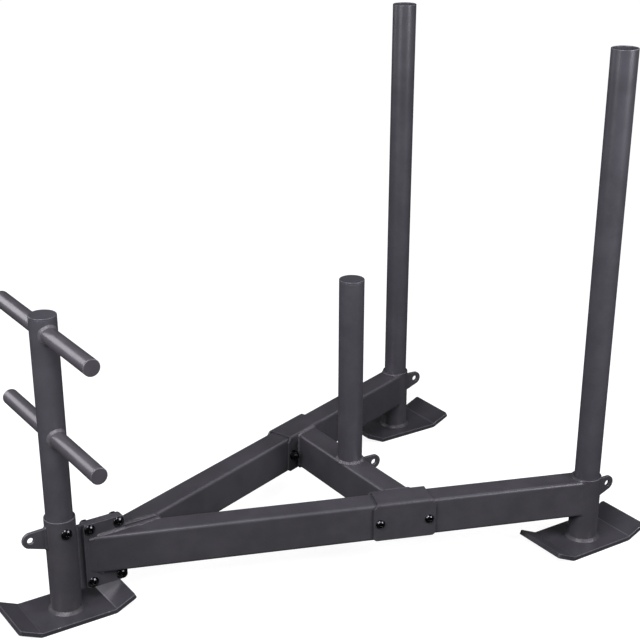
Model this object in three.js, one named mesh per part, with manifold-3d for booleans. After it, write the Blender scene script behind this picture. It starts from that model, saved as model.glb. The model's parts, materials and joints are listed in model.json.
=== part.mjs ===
// A three-legged push sled of welded and bolted steel, in millimetres.
// +Z is up and the single front ski points towards -Y. The two rear push poles stand at +Y.
// The object is symmetric about X = 0, apart from the way its cross bolts point.
// The origin lies on the ground, under the middle of the bounding box.

import * as THREE from 'three';
import { mergeVertices } from 'three/addons/utils/BufferGeometryUtils.js';
import Module from 'manifold-3d';

const wasm = await Module();
wasm.setup();

// Clearances
const weldGap = 0.3;
const slideClearance = 0.4;
const holeClearance = 0.5;
const overrun = 10;
const mergeTolerance = 0.0003;

// Posts, poles and sleeves
const postDiameter = 48.6;
const postWall = 2.5;
const sleeveWall = 3.5;
const sleeveWeld = 5.5;
const capThickness = 4;
const capRounding = 1.5;
const frontPostTop = 575;
const weightPostTop = 519;
const poleTop = 961;
const frontSleeveRise = 56.5;
const rearSleeveRise = 2.5;

// Skis
const skiThickness = 9;
const skiWidth = 116;
const skiFlatLength = 146;
const skiRampLength = 46;
const skiRampAngle = THREE.MathUtils.degToRad(25);
const skiBendRadius = 5;
const skiCornerRadius = 5;

// Rails and crossmember, all of one rectangular tube
const tubeWidth = 50;
const tubeHeight = 75;
const tubeWall = 3;
const tubeInnerCorner = 3;
const railBottom = 64.5;
const railAngle = THREE.MathUtils.degToRad(20);
const railMeetBehindPost = 100;
const rearSleevesBehindPost = 966;
const weightPostBehindPost = 622;

// Bolted joint between the front sleeve's web and the two rails
const webThickness = 6;
const flangeThickness = 6;
const flangeFrontBehindPost = 39.5;
const flangeLength = 81;
const flangeHeight = 131;
const flangeCorner = 8;
const webTongueDrop = 3;
const flangeBoltInset = 12;
const flangeBoltMargin = 11.5;

// Saddles over the rails
const saddleThickness = 4;
const saddleTopInset = 8;
const saddleShoulder = 8;
const saddleLegRise = 1;
const saddleCorner = 8;
const saddleBoltClearance = 21.4;
const saddleBoltInset = 13;

// Tow ears
const earThickness = 6;
const earTipRadius = 15;
const earBaseHeight = 42;
const earBaseDrop = 5;
const earHoleDiameter = 12;
const frontEarReach = 29.5;
const rearEarReach = 27;
const centreEarReach = 33;
const frontEarDrop = 31.5;
const rearEarDrop = 32.5;
const centreEarDrop = 22;

// Cross handles on the front post
const handleDiameter = 30;
const handleWall = 2.5;
const handleLength = 380;
const handleCapThickness = 3;
const upperHandleDrop = 30;
const handleSpacing = 189;

// Button-head bolts, lock nuts and washers
const boltDiameter = 10;
const saddleHeadDiameter = 17.5;
const jointHeadDiameter = 21;
const boltHeadHeight = 5.5;
const boltSocketWidth = 6;
const boltSocketDepth = 3;
const boltEndPastNut = 2;
const nutWidth = 16;
const nutHeight = 8;
const nutCollarDiameter = 14;
const nutCollarHeight = 2.5;
const nutChamfer = 0.8;
const washerDiameter = 20;
const washerThickness = 2;
const threadPlay = 0.3;
const frontPostBoltDrop = 24;

// Facet counts
const roundFacets = 32;
const smallFacets = 16;
const cornerFacets = 3;
const hexagonSides = 6;

// Places that follow from the sizes above
const postRadius = postDiameter / 2;
const sleeveBore = postRadius + slideClearance;
const sleeveRadius = sleeveBore + sleeveWall;
const tubeCorner = tubeInnerCorner + tubeWall;
const skiReach = skiFlatLength / 2 + skiRampLength * Math.cos(skiRampAngle);
const frontPostY = -rearSleevesBehindPost / 2;
const rearSleeveY = frontPostY + rearSleevesBehindPost;
const weightPostY = frontPostY + weightPostBehindPost;
const railMeetY = frontPostY + railMeetBehindPost;
const rearSleeveX = (rearSleeveY - railMeetY) * Math.tan(railAngle);
const railTop = railBottom + tubeHeight;
const railMiddle = railBottom + tubeHeight / 2;
const frontSleeveTop = railTop + frontSleeveRise;
const rearSleeveTop = railTop + rearSleeveRise;
const frontPostBoltHeight = frontSleeveTop - frontPostBoltDrop;
const upperHandleHeight = frontPostTop - upperHandleDrop;
const lowerHandleHeight = upperHandleHeight - handleSpacing;
const stackHalf = webThickness / 2 + flangeThickness;
const flangeMiddleY = frontPostY + flangeFrontBehindPost + flangeLength / 2;
const mitreEndY = railMeetY + (stackHalf + tubeWidth / 2 / Math.cos(railAngle)) / Math.tan(railAngle);
const postFoot = skiThickness + weldGap;
const saddleSide = tubeWidth / 2 + weldGap + saddleThickness;
const saddleBoltOffset = tubeWidth / 2 / Math.cos(railAngle) + saddleBoltClearance;
const saddleLegLength = 2 * (saddleBoltOffset + saddleBoltInset);
const flangeBoltOffset = flangeLength / 2 - flangeBoltInset;
const flangeBoltHeight = flangeHeight / 2 - flangeBoltMargin;

const colours = {
  frame: { color: 0x55545a, roughness: 0.42, metalness: 0.35 },
  handle: { color: 0x5c5b62, roughness: 0.26, metalness: 0.45 },
  pole: { color: 0x57565c, roughness: 0.36, metalness: 0.4 },
  bolt: { color: 0x1d1c1f, roughness: 0.3, metalness: 0.7 },
  nut: { color: 0x242326, roughness: 0.38, metalness: 0.65 },
};

// Solids from three.js geometry, for cutting and joining

function toSolid(geometry) {
  const bare = geometry.index ? geometry.toNonIndexed() : geometry.clone();
  bare.deleteAttribute('normal');
  bare.deleteAttribute('uv');
  const merged = mergeVertices(bare, mergeTolerance);
  const corners = merged.index.array;
  const triangles = [];
  for (let i = 0; i < corners.length; i += 3) {
    const [a, b, c] = [corners[i], corners[i + 1], corners[i + 2]];
    if (a !== b && b !== c && c !== a) triangles.push(a, b, c);
  }
  return new wasm.Manifold(new wasm.Mesh({
    numProp: 3,
    vertProperties: new Float32Array(merged.attributes.position.array),
    triVerts: new Uint32Array(triangles),
  }));
}

function toGeometry(solid) {
  const mesh = solid.getMesh();
  const geometry = new THREE.BufferGeometry();
  geometry.setAttribute('position', new THREE.BufferAttribute(new Float32Array(mesh.vertProperties), 3));
  geometry.setIndex(new THREE.BufferAttribute(new Uint32Array(mesh.triVerts), 1));
  geometry.computeVertexNormals();
  return geometry;
}

function piece(name, solid, finish) {
  const mesh = new THREE.Mesh(toGeometry(solid), new THREE.MeshStandardMaterial(colours[finish]));
  mesh.name = name;
  return mesh;
}

function place(objects, x, y, z, turn = 0) {
  const group = new THREE.Group();
  group.add(...objects);
  group.position.set(x, y, z);
  group.rotation.z = turn;
  return group;
}

// Round solids stand on z = 0 unless they are said to lie along X.

function revolve(profile, facets) {
  const points = profile.map(([radius, height]) => new THREE.Vector2(radius, height));
  return toSolid(new THREE.LatheGeometry(points, facets).rotateX(Math.PI / 2));
}

function rod(radius, length, facets = roundFacets) {
  return revolve([[0, 0], [radius, 0], [radius, length], [0, length]], facets);
}

function pipe(outer, inner, length, facets = roundFacets) {
  return revolve([[inner, 0], [outer, 0], [outer, length], [inner, length], [inner, 0]], facets);
}

function alongX(solid) {
  return solid.rotate([0, 90, 0]);
}

function roundCap(radius, thickness) {
  const arc = arcPoints(radius - capRounding, thickness - capRounding, capRounding, 0, Math.PI / 2);
  return revolve([[0, 0], [radius, 0], ...arc, [0, thickness]], roundFacets);
}

function arcPoints(x, y, radius, start, end, steps = cornerFacets) {
  const points = [];
  for (let step = 0; step <= steps; step += 1) {
    const angle = start + (end - start) * step / steps;
    points.push([x + radius * Math.cos(angle), y + radius * Math.sin(angle)]);
  }
  return points;
}

// Flat outlines, pushed out along Z and then turned to lie where the plate lies

function prism(outline, depth) {
  const shape = new THREE.Shape(outline.map(([x, y]) => new THREE.Vector2(x, y)));
  return toSolid(new THREE.ExtrudeGeometry(shape, { depth, bevelEnabled: false, steps: 1 }));
}

// A prism whose outline is given in Y and Z, centred on X = 0
function plateAcrossX(outline, thickness) {
  const upright = prism(outline, thickness).rotate([90, 0, 0]).rotate([0, 0, 90]);
  return upright.translate([-thickness / 2, 0, 0]);
}

function roundedBox(width, height, radius) {
  const x = width / 2 - radius;
  const y = height / 2 - radius;
  const quarter = Math.PI / 2;
  return [
    ...arcPoints(x, y, radius, 0, quarter),
    ...arcPoints(-x, y, radius, quarter, 2 * quarter),
    ...arcPoints(-x, -y, radius, 2 * quarter, 3 * quarter),
    ...arcPoints(x, -y, radius, 3 * quarter, 4 * quarter),
  ];
}

// A length of the rectangular tube along +Y, from y = 0, centred on the other two axes
function rectangularTube(length) {
  const skin = prism(roundedBox(tubeWidth, tubeHeight, tubeCorner), length);
  const hollow = prism(
    roundedBox(tubeWidth - 2 * tubeWall, tubeHeight - 2 * tubeWall, tubeInnerCorner),
    length + 2 * overrun,
  ).translate([0, 0, -overrun]);
  return skin.subtract(hollow).rotate([-90, 0, 0]);
}

// A bore along X, centred on x = 0, for a piece that is `width` wide
function crossHole(diameter, width, facets = smallFacets) {
  const length = width + 2 * overrun;
  return alongX(rod(diameter / 2, length, facets)).translate([-length / 2, 0, 0]);
}

function boltHole(width) {
  return crossHole(boltDiameter + 2 * holeClearance, width);
}

// Everything on the +X side of the plane x = 0, as a block that can be moved and turned
function halfSpace(reach) {
  return toSolid(new THREE.BoxGeometry(reach, 2 * reach, 2 * reach)).translate([reach / 2, 0, 0]);
}

// Fasteners. A bolt's head sits at the +X end, and its shank runs towards -X from x = 0.

function buttonBolt(name, grip, headDiameter) {
  const length = grip + washerThickness + nutHeight + nutCollarHeight + boltEndPastNut;
  const crown = headDiameter / 2;
  const rise = boltHeadHeight;
  const dome = (crown * crown + rise * rise) / (2 * rise);
  const socketRadius = boltSocketWidth / Math.sqrt(3);
  const low = Math.acos(crown / dome);
  const high = Math.acos(socketRadius / dome);
  const crownArc = arcPoints(0, rise - dome, dome, low, high);
  const profile = [
    [0, -length],
    [boltDiameter / 2, -length],
    [boltDiameter / 2, 0],
    ...crownArc,
    [0, crownArc[crownArc.length - 1][1]],
  ];
  const socket = rod(socketRadius, boltSocketDepth + overrun, hexagonSides)
    .translate([0, 0, rise - boltSocketDepth]);
  return piece(name, alongX(revolve(profile, smallFacets).subtract(socket)), 'bolt');
}

function lockNut(name) {
  const corner = nutWidth / Math.sqrt(3);
  const hexagon = rod(corner, nutHeight, hexagonSides);
  const trimmed = hexagon.intersect(revolve([
    [0, 0],
    [nutWidth / 2, 0],
    [corner, nutChamfer],
    [corner, nutHeight - nutChamfer],
    [nutWidth / 2, nutHeight],
    [0, nutHeight],
  ], smallFacets));
  const collar = rod(nutCollarDiameter / 2, nutCollarHeight + nutHeight / 2, smallFacets)
    .translate([0, 0, nutHeight / 2]);
  const bore = rod(boltDiameter / 2 + threadPlay, nutHeight + nutCollarHeight + 2 * overrun, smallFacets)
    .translate([0, 0, -overrun]);
  const nut = trimmed.add(collar).subtract(bore);
  return piece(name, nut.rotate([0, -90, 0]), 'nut');
}

function washer(name) {
  const ring = pipe(washerDiameter / 2, boltDiameter / 2 + threadPlay, washerThickness, smallFacets);
  return piece(name, ring.rotate([0, -90, 0]), 'nut');
}

// A bolt through `grip` of steel, with its head at +X and its nut at -X, about the grip's middle
function boltedThrough(label, grip, headDiameter = jointHeadDiameter) {
  const bolt = buttonBolt(`${label}_bolt`, grip, headDiameter);
  bolt.position.x = grip / 2;
  const ring = washer(`${label}_washer`);
  ring.position.x = -grip / 2;
  const nut = lockNut(`${label}_nut`);
  nut.position.x = -grip / 2 - washerThickness;
  return [bolt, ring, nut];
}

// Skis: a flat plate whose two ends are bent up

function skiSolid() {
  const half = skiFlatLength / 2;
  const inner = skiBendRadius;
  const outer = skiBendRadius + skiThickness;
  const tangent = outer * Math.tan(skiRampAngle / 2);
  const down = -Math.PI / 2;
  const rampEnd = skiRampLength - tangent;
  const under = arcPoints(half - tangent, outer, outer, down, down + skiRampAngle);
  const over = arcPoints(half - tangent, outer, inner, down + skiRampAngle, down);
  const along = [rampEnd * Math.cos(skiRampAngle), rampEnd * Math.sin(skiRampAngle)];
  const shift = ([y, z]) => [y + along[0], z + along[1]];
  const rearSide = [...under, shift(under[under.length - 1]), shift(over[0]), ...over];
  const frontSide = rearSide.map(([y, z]) => [-y, z]).reverse();
  const strip = plateAcrossX([...rearSide, ...frontSide], skiWidth);
  const tall = skiRampLength + skiThickness + overrun;
  const plan = prism(roundedBox(skiWidth, 2 * skiReach, skiCornerRadius), tall);
  return strip.intersect(plan.translate([0, 0, -overrun]));
}

// Sleeves: a socket tube with a weld fillet round its foot, standing on z = 0

function sleeveSolid(height) {
  return revolve([
    [sleeveBore, 0],
    [sleeveRadius + sleeveWeld, 0],
    [sleeveRadius + sleeveWeld / 2, sleeveWeld / 2],
    [sleeveRadius, sleeveWeld],
    [sleeveRadius, height],
    [sleeveBore, height],
    [sleeveBore, 0],
  ], roundFacets);
}

// Tow ears: a tapered tongue along +Y with a round tip and a hole. Its seat is at y = 0, and the
// middle of the seat lies earBaseDrop below the hole.

function earSolid(reach) {
  const top = earBaseHeight / 2 - earBaseDrop;
  const low = -earBaseHeight / 2 - earBaseDrop;
  // The angle on the tip at which an edge from the seat, `height` off the hole, touches it
  const touch = (height) => {
    const gap = Math.acos(earTipRadius / Math.hypot(height, reach));
    return Math.PI - Math.atan2(height, reach) - gap;
  };
  const tip = arcPoints(reach, 0, earTipRadius, -touch(-low), touch(top), 4 * cornerFacets);
  const outline = [[-overrun, low], [0, low], ...tip, [0, top], [-overrun, top]];
  const hole = crossHole(earHoleDiameter, earThickness).translate([0, reach, 0]);
  return plateAcrossX(outline, earThickness).subtract(hole);
}

// An ear that meets a sleeve whose axis lies `sleeveRadius` before the ear's seat
function earOnSleeve(name, reach) {
  const tall = 2 * (earBaseHeight + overrun);
  const cope = rod(sleeveRadius + weldGap, tall).translate([0, -sleeveRadius, -tall / 2]);
  const ear = piece(name, earSolid(reach).subtract(cope), 'frame');
  ear.position.y = sleeveRadius;
  return ear;
}

function earOnFlat(name, reach) {
  const cut = halfSpace(earBaseHeight + reach).rotate([0, 0, -90]).translate([0, weldGap, 0]);
  return piece(name, earSolid(reach).subtract(cut), 'frame');
}

// Front ski, sleeve, tow ear and web plate

function frontSki() {
  return piece('front_ski', skiSolid(), 'frame');
}

function frontSleeve() {
  const hole = boltHole(2 * sleeveRadius).translate([0, 0, frontPostBoltHeight - skiThickness]);
  const sleeve = piece('front_sleeve', sleeveSolid(frontSleeveTop - skiThickness).subtract(hole), 'frame');
  sleeve.position.z = skiThickness;
  return sleeve;
}

function frontTowEar() {
  return place([earOnSleeve('front_tow_ear', frontEarReach)], 0, 0, frontSleeveTop - frontEarDrop, Math.PI);
}

// The joint's plates share one outline: a tall bolted head and a tongue as high as the rails.
function jointOutline(front, tongueHeight) {
  const top = flangeHeight / 2;
  const rear = flangeLength / 2;
  const end = mitreEndY - tubeCorner - flangeMiddleY;
  const tongue = tongueHeight / 2;
  const quarter = Math.PI / 2;
  const squareFront = front < -rear;
  const lowerFront = squareFront
    ? [[front, -top]]
    : arcPoints(front + flangeCorner, flangeCorner - top, flangeCorner, 2 * quarter, 3 * quarter);
  const upperFront = squareFront
    ? [[front, top]]
    : arcPoints(front + flangeCorner, top - flangeCorner, flangeCorner, quarter, 2 * quarter);
  return [
    ...lowerFront,
    ...arcPoints(rear - flangeCorner, flangeCorner - top, flangeCorner, -quarter, 0),
    [rear, -tongue],
    [end, -tongue],
    [end, tongue],
    [rear, tongue],
    ...arcPoints(rear - flangeCorner, top - flangeCorner, flangeCorner, 0, quarter),
    ...upperFront,
  ];
}

const jointBoltShares = [[-1, 1], [1, 1], [-1, -1], [1, -1]];

function drillJoint(plate) {
  let drilled = plate;
  for (const [along, up] of jointBoltShares) {
    const hole = boltHole(2 * stackHalf);
    drilled = drilled.subtract(hole.translate([0, along * flangeBoltOffset, up * flangeBoltHeight]));
  }
  return drilled;
}

function frontWebPlate() {
  const sleeveOffset = frontPostY - flangeMiddleY;
  const plate = plateAcrossX(jointOutline(sleeveOffset, tubeHeight - 2 * webTongueDrop), webThickness);
  const cope = rod(sleeveRadius + weldGap, flangeHeight + 2 * overrun)
    .translate([0, sleeveOffset, -flangeHeight / 2 - overrun]);
  const web = piece('front_web_plate', drillJoint(plate).subtract(cope), 'frame');
  web.position.set(0, flangeMiddleY, railMiddle);
  return web;
}

function flangePlate(side) {
  const solid = drillJoint(plateAcrossX(jointOutline(-flangeLength / 2, tubeHeight), flangeThickness));
  const plate = piece(`flange_plate_${sideName(side)}`, solid, 'frame');
  plate.position.set(side * (webThickness + flangeThickness) / 2, flangeMiddleY, railMiddle);
  return plate;
}

function sideName(side) {
  return side < 0 ? 'left' : 'right';
}

function jointBolts() {
  return jointBoltShares.map(([along, up], index) => place(
    boltedThrough(`flange_${index + 1}`, 2 * stackHalf),
    0,
    flangeMiddleY + along * flangeBoltOffset,
    railMiddle + up * flangeBoltHeight,
  ));
}

// Front post with its two cross handles

function frontPost() {
  const height = frontPostTop - capThickness - postFoot;
  let tube = pipe(postRadius, postRadius - postWall, height);
  for (const handleHeight of [upperHandleHeight, lowerHandleHeight]) {
    const passage = crossHole(handleDiameter + 2 * weldGap, postDiameter, roundFacets);
    tube = tube.subtract(passage.translate([0, 0, handleHeight - postFoot]));
  }
  tube = tube.subtract(boltHole(postDiameter).translate([0, 0, frontPostBoltHeight - postFoot]));
  const post = piece('front_post', tube, 'frame');
  post.position.z = postFoot;
  const cap = piece('front_post_cap', roundCap(postRadius, capThickness), 'frame');
  cap.position.z = frontPostTop - capThickness;
  return [post, cap];
}

function crossHandle(label, height) {
  const barLength = handleLength - 2 * handleCapThickness;
  const tube = pipe(handleDiameter / 2, handleDiameter / 2 - handleWall, barLength);
  const bar = piece(`${label}_handle_bar`, alongX(tube).translate([-barLength / 2, 0, 0]), 'handle');
  const caps = [-1, 1].map((side) => {
    const disc = roundCap(handleDiameter / 2, handleCapThickness);
    const cap = piece(`${label}_handle_cap_${sideName(side)}`, alongX(disc), 'handle');
    cap.position.x = side * barLength / 2;
    cap.rotation.z = side < 0 ? Math.PI : 0;
    return cap;
  });
  return place([bar, ...caps], 0, 0, height);
}

function frontPostBolt() {
  return place(boltedThrough('front_post', 2 * sleeveRadius), 0, 0, frontPostBoltHeight);
}

// Rails. Each is drawn along +Y from the point where the two centrelines meet.

const railLength = (rearSleeveY - railMeetY) / Math.cos(railAngle);
const saddleAlongRail = saddleStation();

// The crossmember's centreline reaches the saddle's inner face at this distance along the rail.
function saddleStation() {
  return (weightPostY - railMeetY - saddleSide * Math.sin(railAngle)) / Math.cos(railAngle);
}

function saddleBoltStations() {
  return [-1, 1].map((end) => saddleAlongRail + end * saddleBoltOffset);
}

function sideRail(side) {
  const spare = tubeWidth / Math.sin(railAngle);
  let rail = rectangularTube(railLength + spare).translate([0, -spare, 0]);
  const mitre = halfSpace(2 * spare)
    .translate([stackHalf + weldGap, 0, 0])
    .rotate([0, 0, THREE.MathUtils.radToDeg(railAngle)]);
  const front = toSolid(new THREE.BoxGeometry(2 * spare, 2 * railLength, 2 * tubeHeight))
    .translate([0, railLength + spare, 0]);
  rail = rail.intersect(mitre.add(front));
  const cope = rod(sleeveRadius + weldGap, tubeHeight + 2 * overrun)
    .translate([0, railLength, -tubeHeight / 2 - overrun]);
  rail = rail.subtract(cope);
  for (const station of saddleBoltStations()) {
    rail = rail.subtract(boltHole(tubeWidth).translate([0, station, 0]));
  }
  const oriented = side < 0 ? rail.mirror([1, 0, 0]) : rail;
  return piece(`side_rail_${sideName(side)}`, oriented, 'frame');
}

// Saddle: a plate bent into a U over the rail, with wider legs than top

function saddleSolid() {
  const inside = tubeWidth / 2 + weldGap;
  const outerCorner = saddleThickness + tubeCorner / 2;
  const innerCorner = outerCorner - saddleThickness;
  const low = saddleLegRise - tubeHeight / 2;
  const roof = tubeHeight / 2 + weldGap;
  const ridge = roof + saddleThickness;
  const quarter = Math.PI / 2;
  const section = [
    [saddleSide, low],
    ...arcPoints(saddleSide - outerCorner, ridge - outerCorner, outerCorner, 0, quarter),
    ...arcPoints(outerCorner - saddleSide, ridge - outerCorner, outerCorner, quarter, 2 * quarter),
    [-saddleSide, low],
    [-inside, low],
    ...arcPoints(innerCorner - inside, roof - innerCorner, innerCorner, 2 * quarter, quarter),
    ...arcPoints(inside - innerCorner, roof - innerCorner, innerCorner, quarter, 0),
    [inside, low],
  ];
  const bent = prism(section, saddleLegLength)
    .rotate([90, 0, 0])
    .translate([0, saddleLegLength / 2, 0]);
  const end = saddleLegLength / 2;
  const topEnd = end - saddleTopInset;
  const side = [
    ...arcPoints(saddleCorner - end, low + saddleCorner, saddleCorner, 2 * quarter, 3 * quarter),
    ...arcPoints(end - saddleCorner, low + saddleCorner, saddleCorner, 3 * quarter, 4 * quarter),
    [end, ridge - saddleShoulder - saddleThickness],
    [topEnd, ridge - saddleThickness],
    [topEnd, ridge + overrun],
    [-topEnd, ridge + overrun],
    [-topEnd, ridge - saddleThickness],
    [-end, ridge - saddleShoulder - saddleThickness],
  ];
  return bent.intersect(plateAcrossX(side, 2 * saddleSide + 2 * overrun));
}

function saddle(side) {
  let solid = saddleSolid();
  for (const end of [-1, 1]) {
    solid = solid.subtract(boltHole(2 * saddleSide).translate([0, end * saddleBoltOffset, 0]));
  }
  const bracket = piece(`saddle_${sideName(side)}`, solid, 'frame');
  bracket.position.y = saddleAlongRail;
  return bracket;
}

// Saddle bolts have their heads on the outboard side of each rail.
function saddleBolts(side) {
  return saddleBoltStations().map((station, index) => {
    const end = index === 0 ? 'front' : 'rear';
    const set = boltedThrough(`saddle_${sideName(side)}_${end}`, 2 * saddleSide, saddleHeadDiameter);
    return place(set, 0, station, 0, side < 0 ? Math.PI : 0);
  });
}

function railAssembly(side) {
  const parts = [sideRail(side), saddle(side), ...saddleBolts(side)];
  return place(parts, 0, railMeetY, railMiddle, -side * railAngle);
}

// Crossmember between the saddles, with its ends cut to the rails' angle

function crossmember() {
  const saddleX = (weightPostY - railMeetY) * Math.tan(railAngle);
  const halfSpan = saddleX - saddleSide / Math.cos(railAngle);
  const spare = tubeWidth;
  const length = 2 * (halfSpan + spare);
  let tube = rectangularTube(length).translate([0, -length / 2, 0]).rotate([0, 0, -90]);
  for (const side of [-1, 1]) {
    const cut = halfSpace(2 * tubeHeight)
      .rotate([0, 0, side > 0 ? 0 : 180])
      .rotate([0, 0, -side * THREE.MathUtils.radToDeg(railAngle)])
      .translate([side * (halfSpan - weldGap / Math.cos(railAngle)), 0, 0]);
    tube = tube.subtract(cut);
  }
  const beam = piece('crossmember', tube, 'frame');
  beam.position.set(0, weightPostY, railMiddle);
  return beam;
}

function weightPost() {
  const height = weightPostTop - capThickness - railTop;
  const foot = revolve([
    [postRadius - postWall, 0],
    [postRadius + sleeveWeld / 2, 0],
    [postRadius, sleeveWeld],
    [postRadius, height],
    [postRadius - postWall, height],
    [postRadius - postWall, 0],
  ], roundFacets);
  const post = piece('weight_post', foot, 'frame');
  post.position.z = railTop;
  const cap = piece('weight_post_cap', roundCap(postRadius, capThickness), 'frame');
  cap.position.z = weightPostTop - capThickness;
  return [post, cap];
}

function centreTowEar() {
  const ear = earOnFlat('centre_tow_ear', centreEarReach);
  return place([ear], 0, weightPostY + tubeWidth / 2, railTop - centreEarDrop);
}

// Rear legs: ski, sleeve, tow ear and lift-out push pole

function rearSki(side) {
  return piece(`rear_ski_${sideName(side)}`, skiSolid(), 'frame');
}

function rearSleeve(side) {
  const sleeve = piece(`rear_sleeve_${sideName(side)}`, sleeveSolid(rearSleeveTop - skiThickness), 'frame');
  sleeve.position.z = skiThickness;
  return sleeve;
}

function rearTowEar(side) {
  const ear = earOnSleeve(`rear_tow_ear_${sideName(side)}`, rearEarReach);
  return place([ear], 0, 0, rearSleeveTop - rearEarDrop);
}

function pushPole(side) {
  const tube = pipe(postRadius, postRadius - postWall, poleTop - postFoot);
  const pole = piece(`push_pole_${sideName(side)}`, tube, 'pole');
  pole.position.z = postFoot;
  return pole;
}

function rearLeg(side) {
  const parts = [rearSki(side), rearSleeve(side), rearTowEar(side), pushPole(side)];
  return place(parts, side * rearSleeveX, rearSleeveY, 0);
}

const sled = new THREE.Group();
sled.name = 'push_sled';
sled.add(
  place([frontSki(), frontSleeve(), frontTowEar(), ...frontPost(), frontPostBolt()], 0, frontPostY, 0),
  place([crossHandle('upper', upperHandleHeight)], 0, frontPostY, 0),
  place([crossHandle('lower', lowerHandleHeight)], 0, frontPostY, 0),
  frontWebPlate(),
  flangePlate(-1),
  flangePlate(1),
  ...jointBolts(),
  railAssembly(-1),
  railAssembly(1),
  crossmember(),
  place(weightPost(), 0, weightPostY, 0),
  centreTowEar(),
  rearLeg(-1),
  rearLeg(1),
);

export default sled;
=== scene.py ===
"""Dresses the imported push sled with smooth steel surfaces, weld beads, fasteners and paint, and lights it.

Lengths are in metres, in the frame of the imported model: +Z is up, the front ski points towards -Y, the push
poles stand at +Y, and right is +X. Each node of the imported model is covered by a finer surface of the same
size in the same place, and the weld beads are added between them.
"""

import json
import math

import bpy
import numpy as np
from mathutils import Matrix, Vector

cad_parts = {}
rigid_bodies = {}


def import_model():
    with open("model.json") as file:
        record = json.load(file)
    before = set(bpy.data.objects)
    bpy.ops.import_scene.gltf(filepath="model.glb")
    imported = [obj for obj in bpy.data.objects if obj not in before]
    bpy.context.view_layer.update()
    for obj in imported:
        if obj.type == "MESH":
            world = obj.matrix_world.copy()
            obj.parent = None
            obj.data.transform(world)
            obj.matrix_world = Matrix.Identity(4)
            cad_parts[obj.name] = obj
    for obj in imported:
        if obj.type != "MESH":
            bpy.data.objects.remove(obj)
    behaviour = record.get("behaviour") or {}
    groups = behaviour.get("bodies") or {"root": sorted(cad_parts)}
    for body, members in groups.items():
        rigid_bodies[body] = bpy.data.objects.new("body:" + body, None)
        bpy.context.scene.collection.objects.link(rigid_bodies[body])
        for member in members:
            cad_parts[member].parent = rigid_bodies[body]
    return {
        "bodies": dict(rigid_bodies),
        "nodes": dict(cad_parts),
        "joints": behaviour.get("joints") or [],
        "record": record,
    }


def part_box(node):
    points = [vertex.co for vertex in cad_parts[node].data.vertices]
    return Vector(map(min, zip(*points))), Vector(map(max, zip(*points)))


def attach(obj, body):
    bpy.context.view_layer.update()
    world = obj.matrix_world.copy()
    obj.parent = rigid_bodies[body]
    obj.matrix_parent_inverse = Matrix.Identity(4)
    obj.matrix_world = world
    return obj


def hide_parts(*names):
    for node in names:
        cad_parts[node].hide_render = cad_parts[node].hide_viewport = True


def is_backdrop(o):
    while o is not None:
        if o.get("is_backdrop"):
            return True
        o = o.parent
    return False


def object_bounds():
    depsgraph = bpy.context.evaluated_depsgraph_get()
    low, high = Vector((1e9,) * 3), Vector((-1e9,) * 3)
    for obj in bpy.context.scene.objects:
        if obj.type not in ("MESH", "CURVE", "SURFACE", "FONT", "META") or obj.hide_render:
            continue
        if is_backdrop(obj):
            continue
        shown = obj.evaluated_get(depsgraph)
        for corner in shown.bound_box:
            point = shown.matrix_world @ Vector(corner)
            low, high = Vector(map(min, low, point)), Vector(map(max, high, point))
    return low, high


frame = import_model()
cad_low, cad_high = (np.array(corner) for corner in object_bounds())

bl_info = {
    "name": "Push Sled",
    "version": (1, 0, 0),
    "blender": (4, 5, 0),
    "location": "3D View > Sidebar > Push Sled",
    "description": "Builds the surfaces, weld beads, fasteners, paint and studio of a push sled",
    "category": "Object",
}

FULL_TURN = 2 * math.pi
QUARTER_TURN = math.pi / 2
RIGHT = (1.0, 0.0, 0.0)
Z_TO_RIGHT = np.array([[0, 0, 1], [1, 0, 0], [0, 1, 0]])
Z_TO_LEFT = np.array([[0, 0, -1], [-1, 0, 0], [0, 1, 0]])


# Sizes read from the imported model


def lowest(node):
    return np.array(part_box(node)[0])


def highest(node):
    return np.array(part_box(node)[1])


def middle(node):
    return (lowest(node) + highest(node)) / 2


def span(node):
    return highest(node) - lowest(node)


SKI_THICKNESS = lowest("front_sleeve")[2]
SKI_LENGTH = span("front_ski")[1]
SKI_WIDTH = span("front_ski")[0]
POST_RADIUS = span("weight_post_cap")[0] / 2
CAP_THICKNESS = span("weight_post_cap")[2]
HANDLE_RADIUS = span("upper_handle_bar")[2] / 2
HANDLE_CAP_THICKNESS = span("upper_handle_cap_right")[0]
TUBE_WIDTH = span("crossmember")[1]
TUBE_HEIGHT = span("crossmember")[2]
TUBE_MIDDLE = middle("crossmember")[2]
TUBE_TOP = highest("crossmember")[2]
TUBE_BOTTOM = lowest("crossmember")[2]
FLANGE_THICKNESS = span("flange_plate_right")[0]
WEB_THICKNESS = span("front_web_plate")[0]
EAR_THICKNESS = span("front_tow_ear")[0]
WASHER_THICKNESS = span("flange_1_washer")[0]
WASHER_RADIUS = span("flange_1_washer")[2] / 2

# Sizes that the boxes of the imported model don't give

SKI_RAMP_ANGLE = math.radians(25)
SKI_RAMP_LENGTH = 0.046
SKI_BEND_RADIUS = 0.005
SKI_CORNER_RADIUS = 0.005
SLEEVE_WALL = 0.0035
SLEEVE_PLAY = 0.0004
POST_WALL = 0.0025
CAP_ROUNDING = 0.0015
TUBE_WALL = 0.003
TUBE_CORNER = 0.006
RAIL_ANGLE = math.radians(20)
RAIL_MEET_BEHIND_POST = 0.1
FIT_GAP = 0.0003
FLANGE_LENGTH = 0.081
FLANGE_HEIGHT = 0.131
FLANGE_CORNER = 0.008
WEB_DROP = 0.003
SADDLE_THICKNESS = 0.004
SADDLE_TOP_INSET = 0.008
SADDLE_SHOULDER = 0.008
SADDLE_LEG_RISE = 0.001
SADDLE_CORNER = 0.008
SADDLE_LEG_LENGTH = 0.122
SADDLE_BOLT_OFFSET = 0.048
EAR_TIP_RADIUS = 0.015
EAR_BASE_TOP = 0.016
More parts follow.
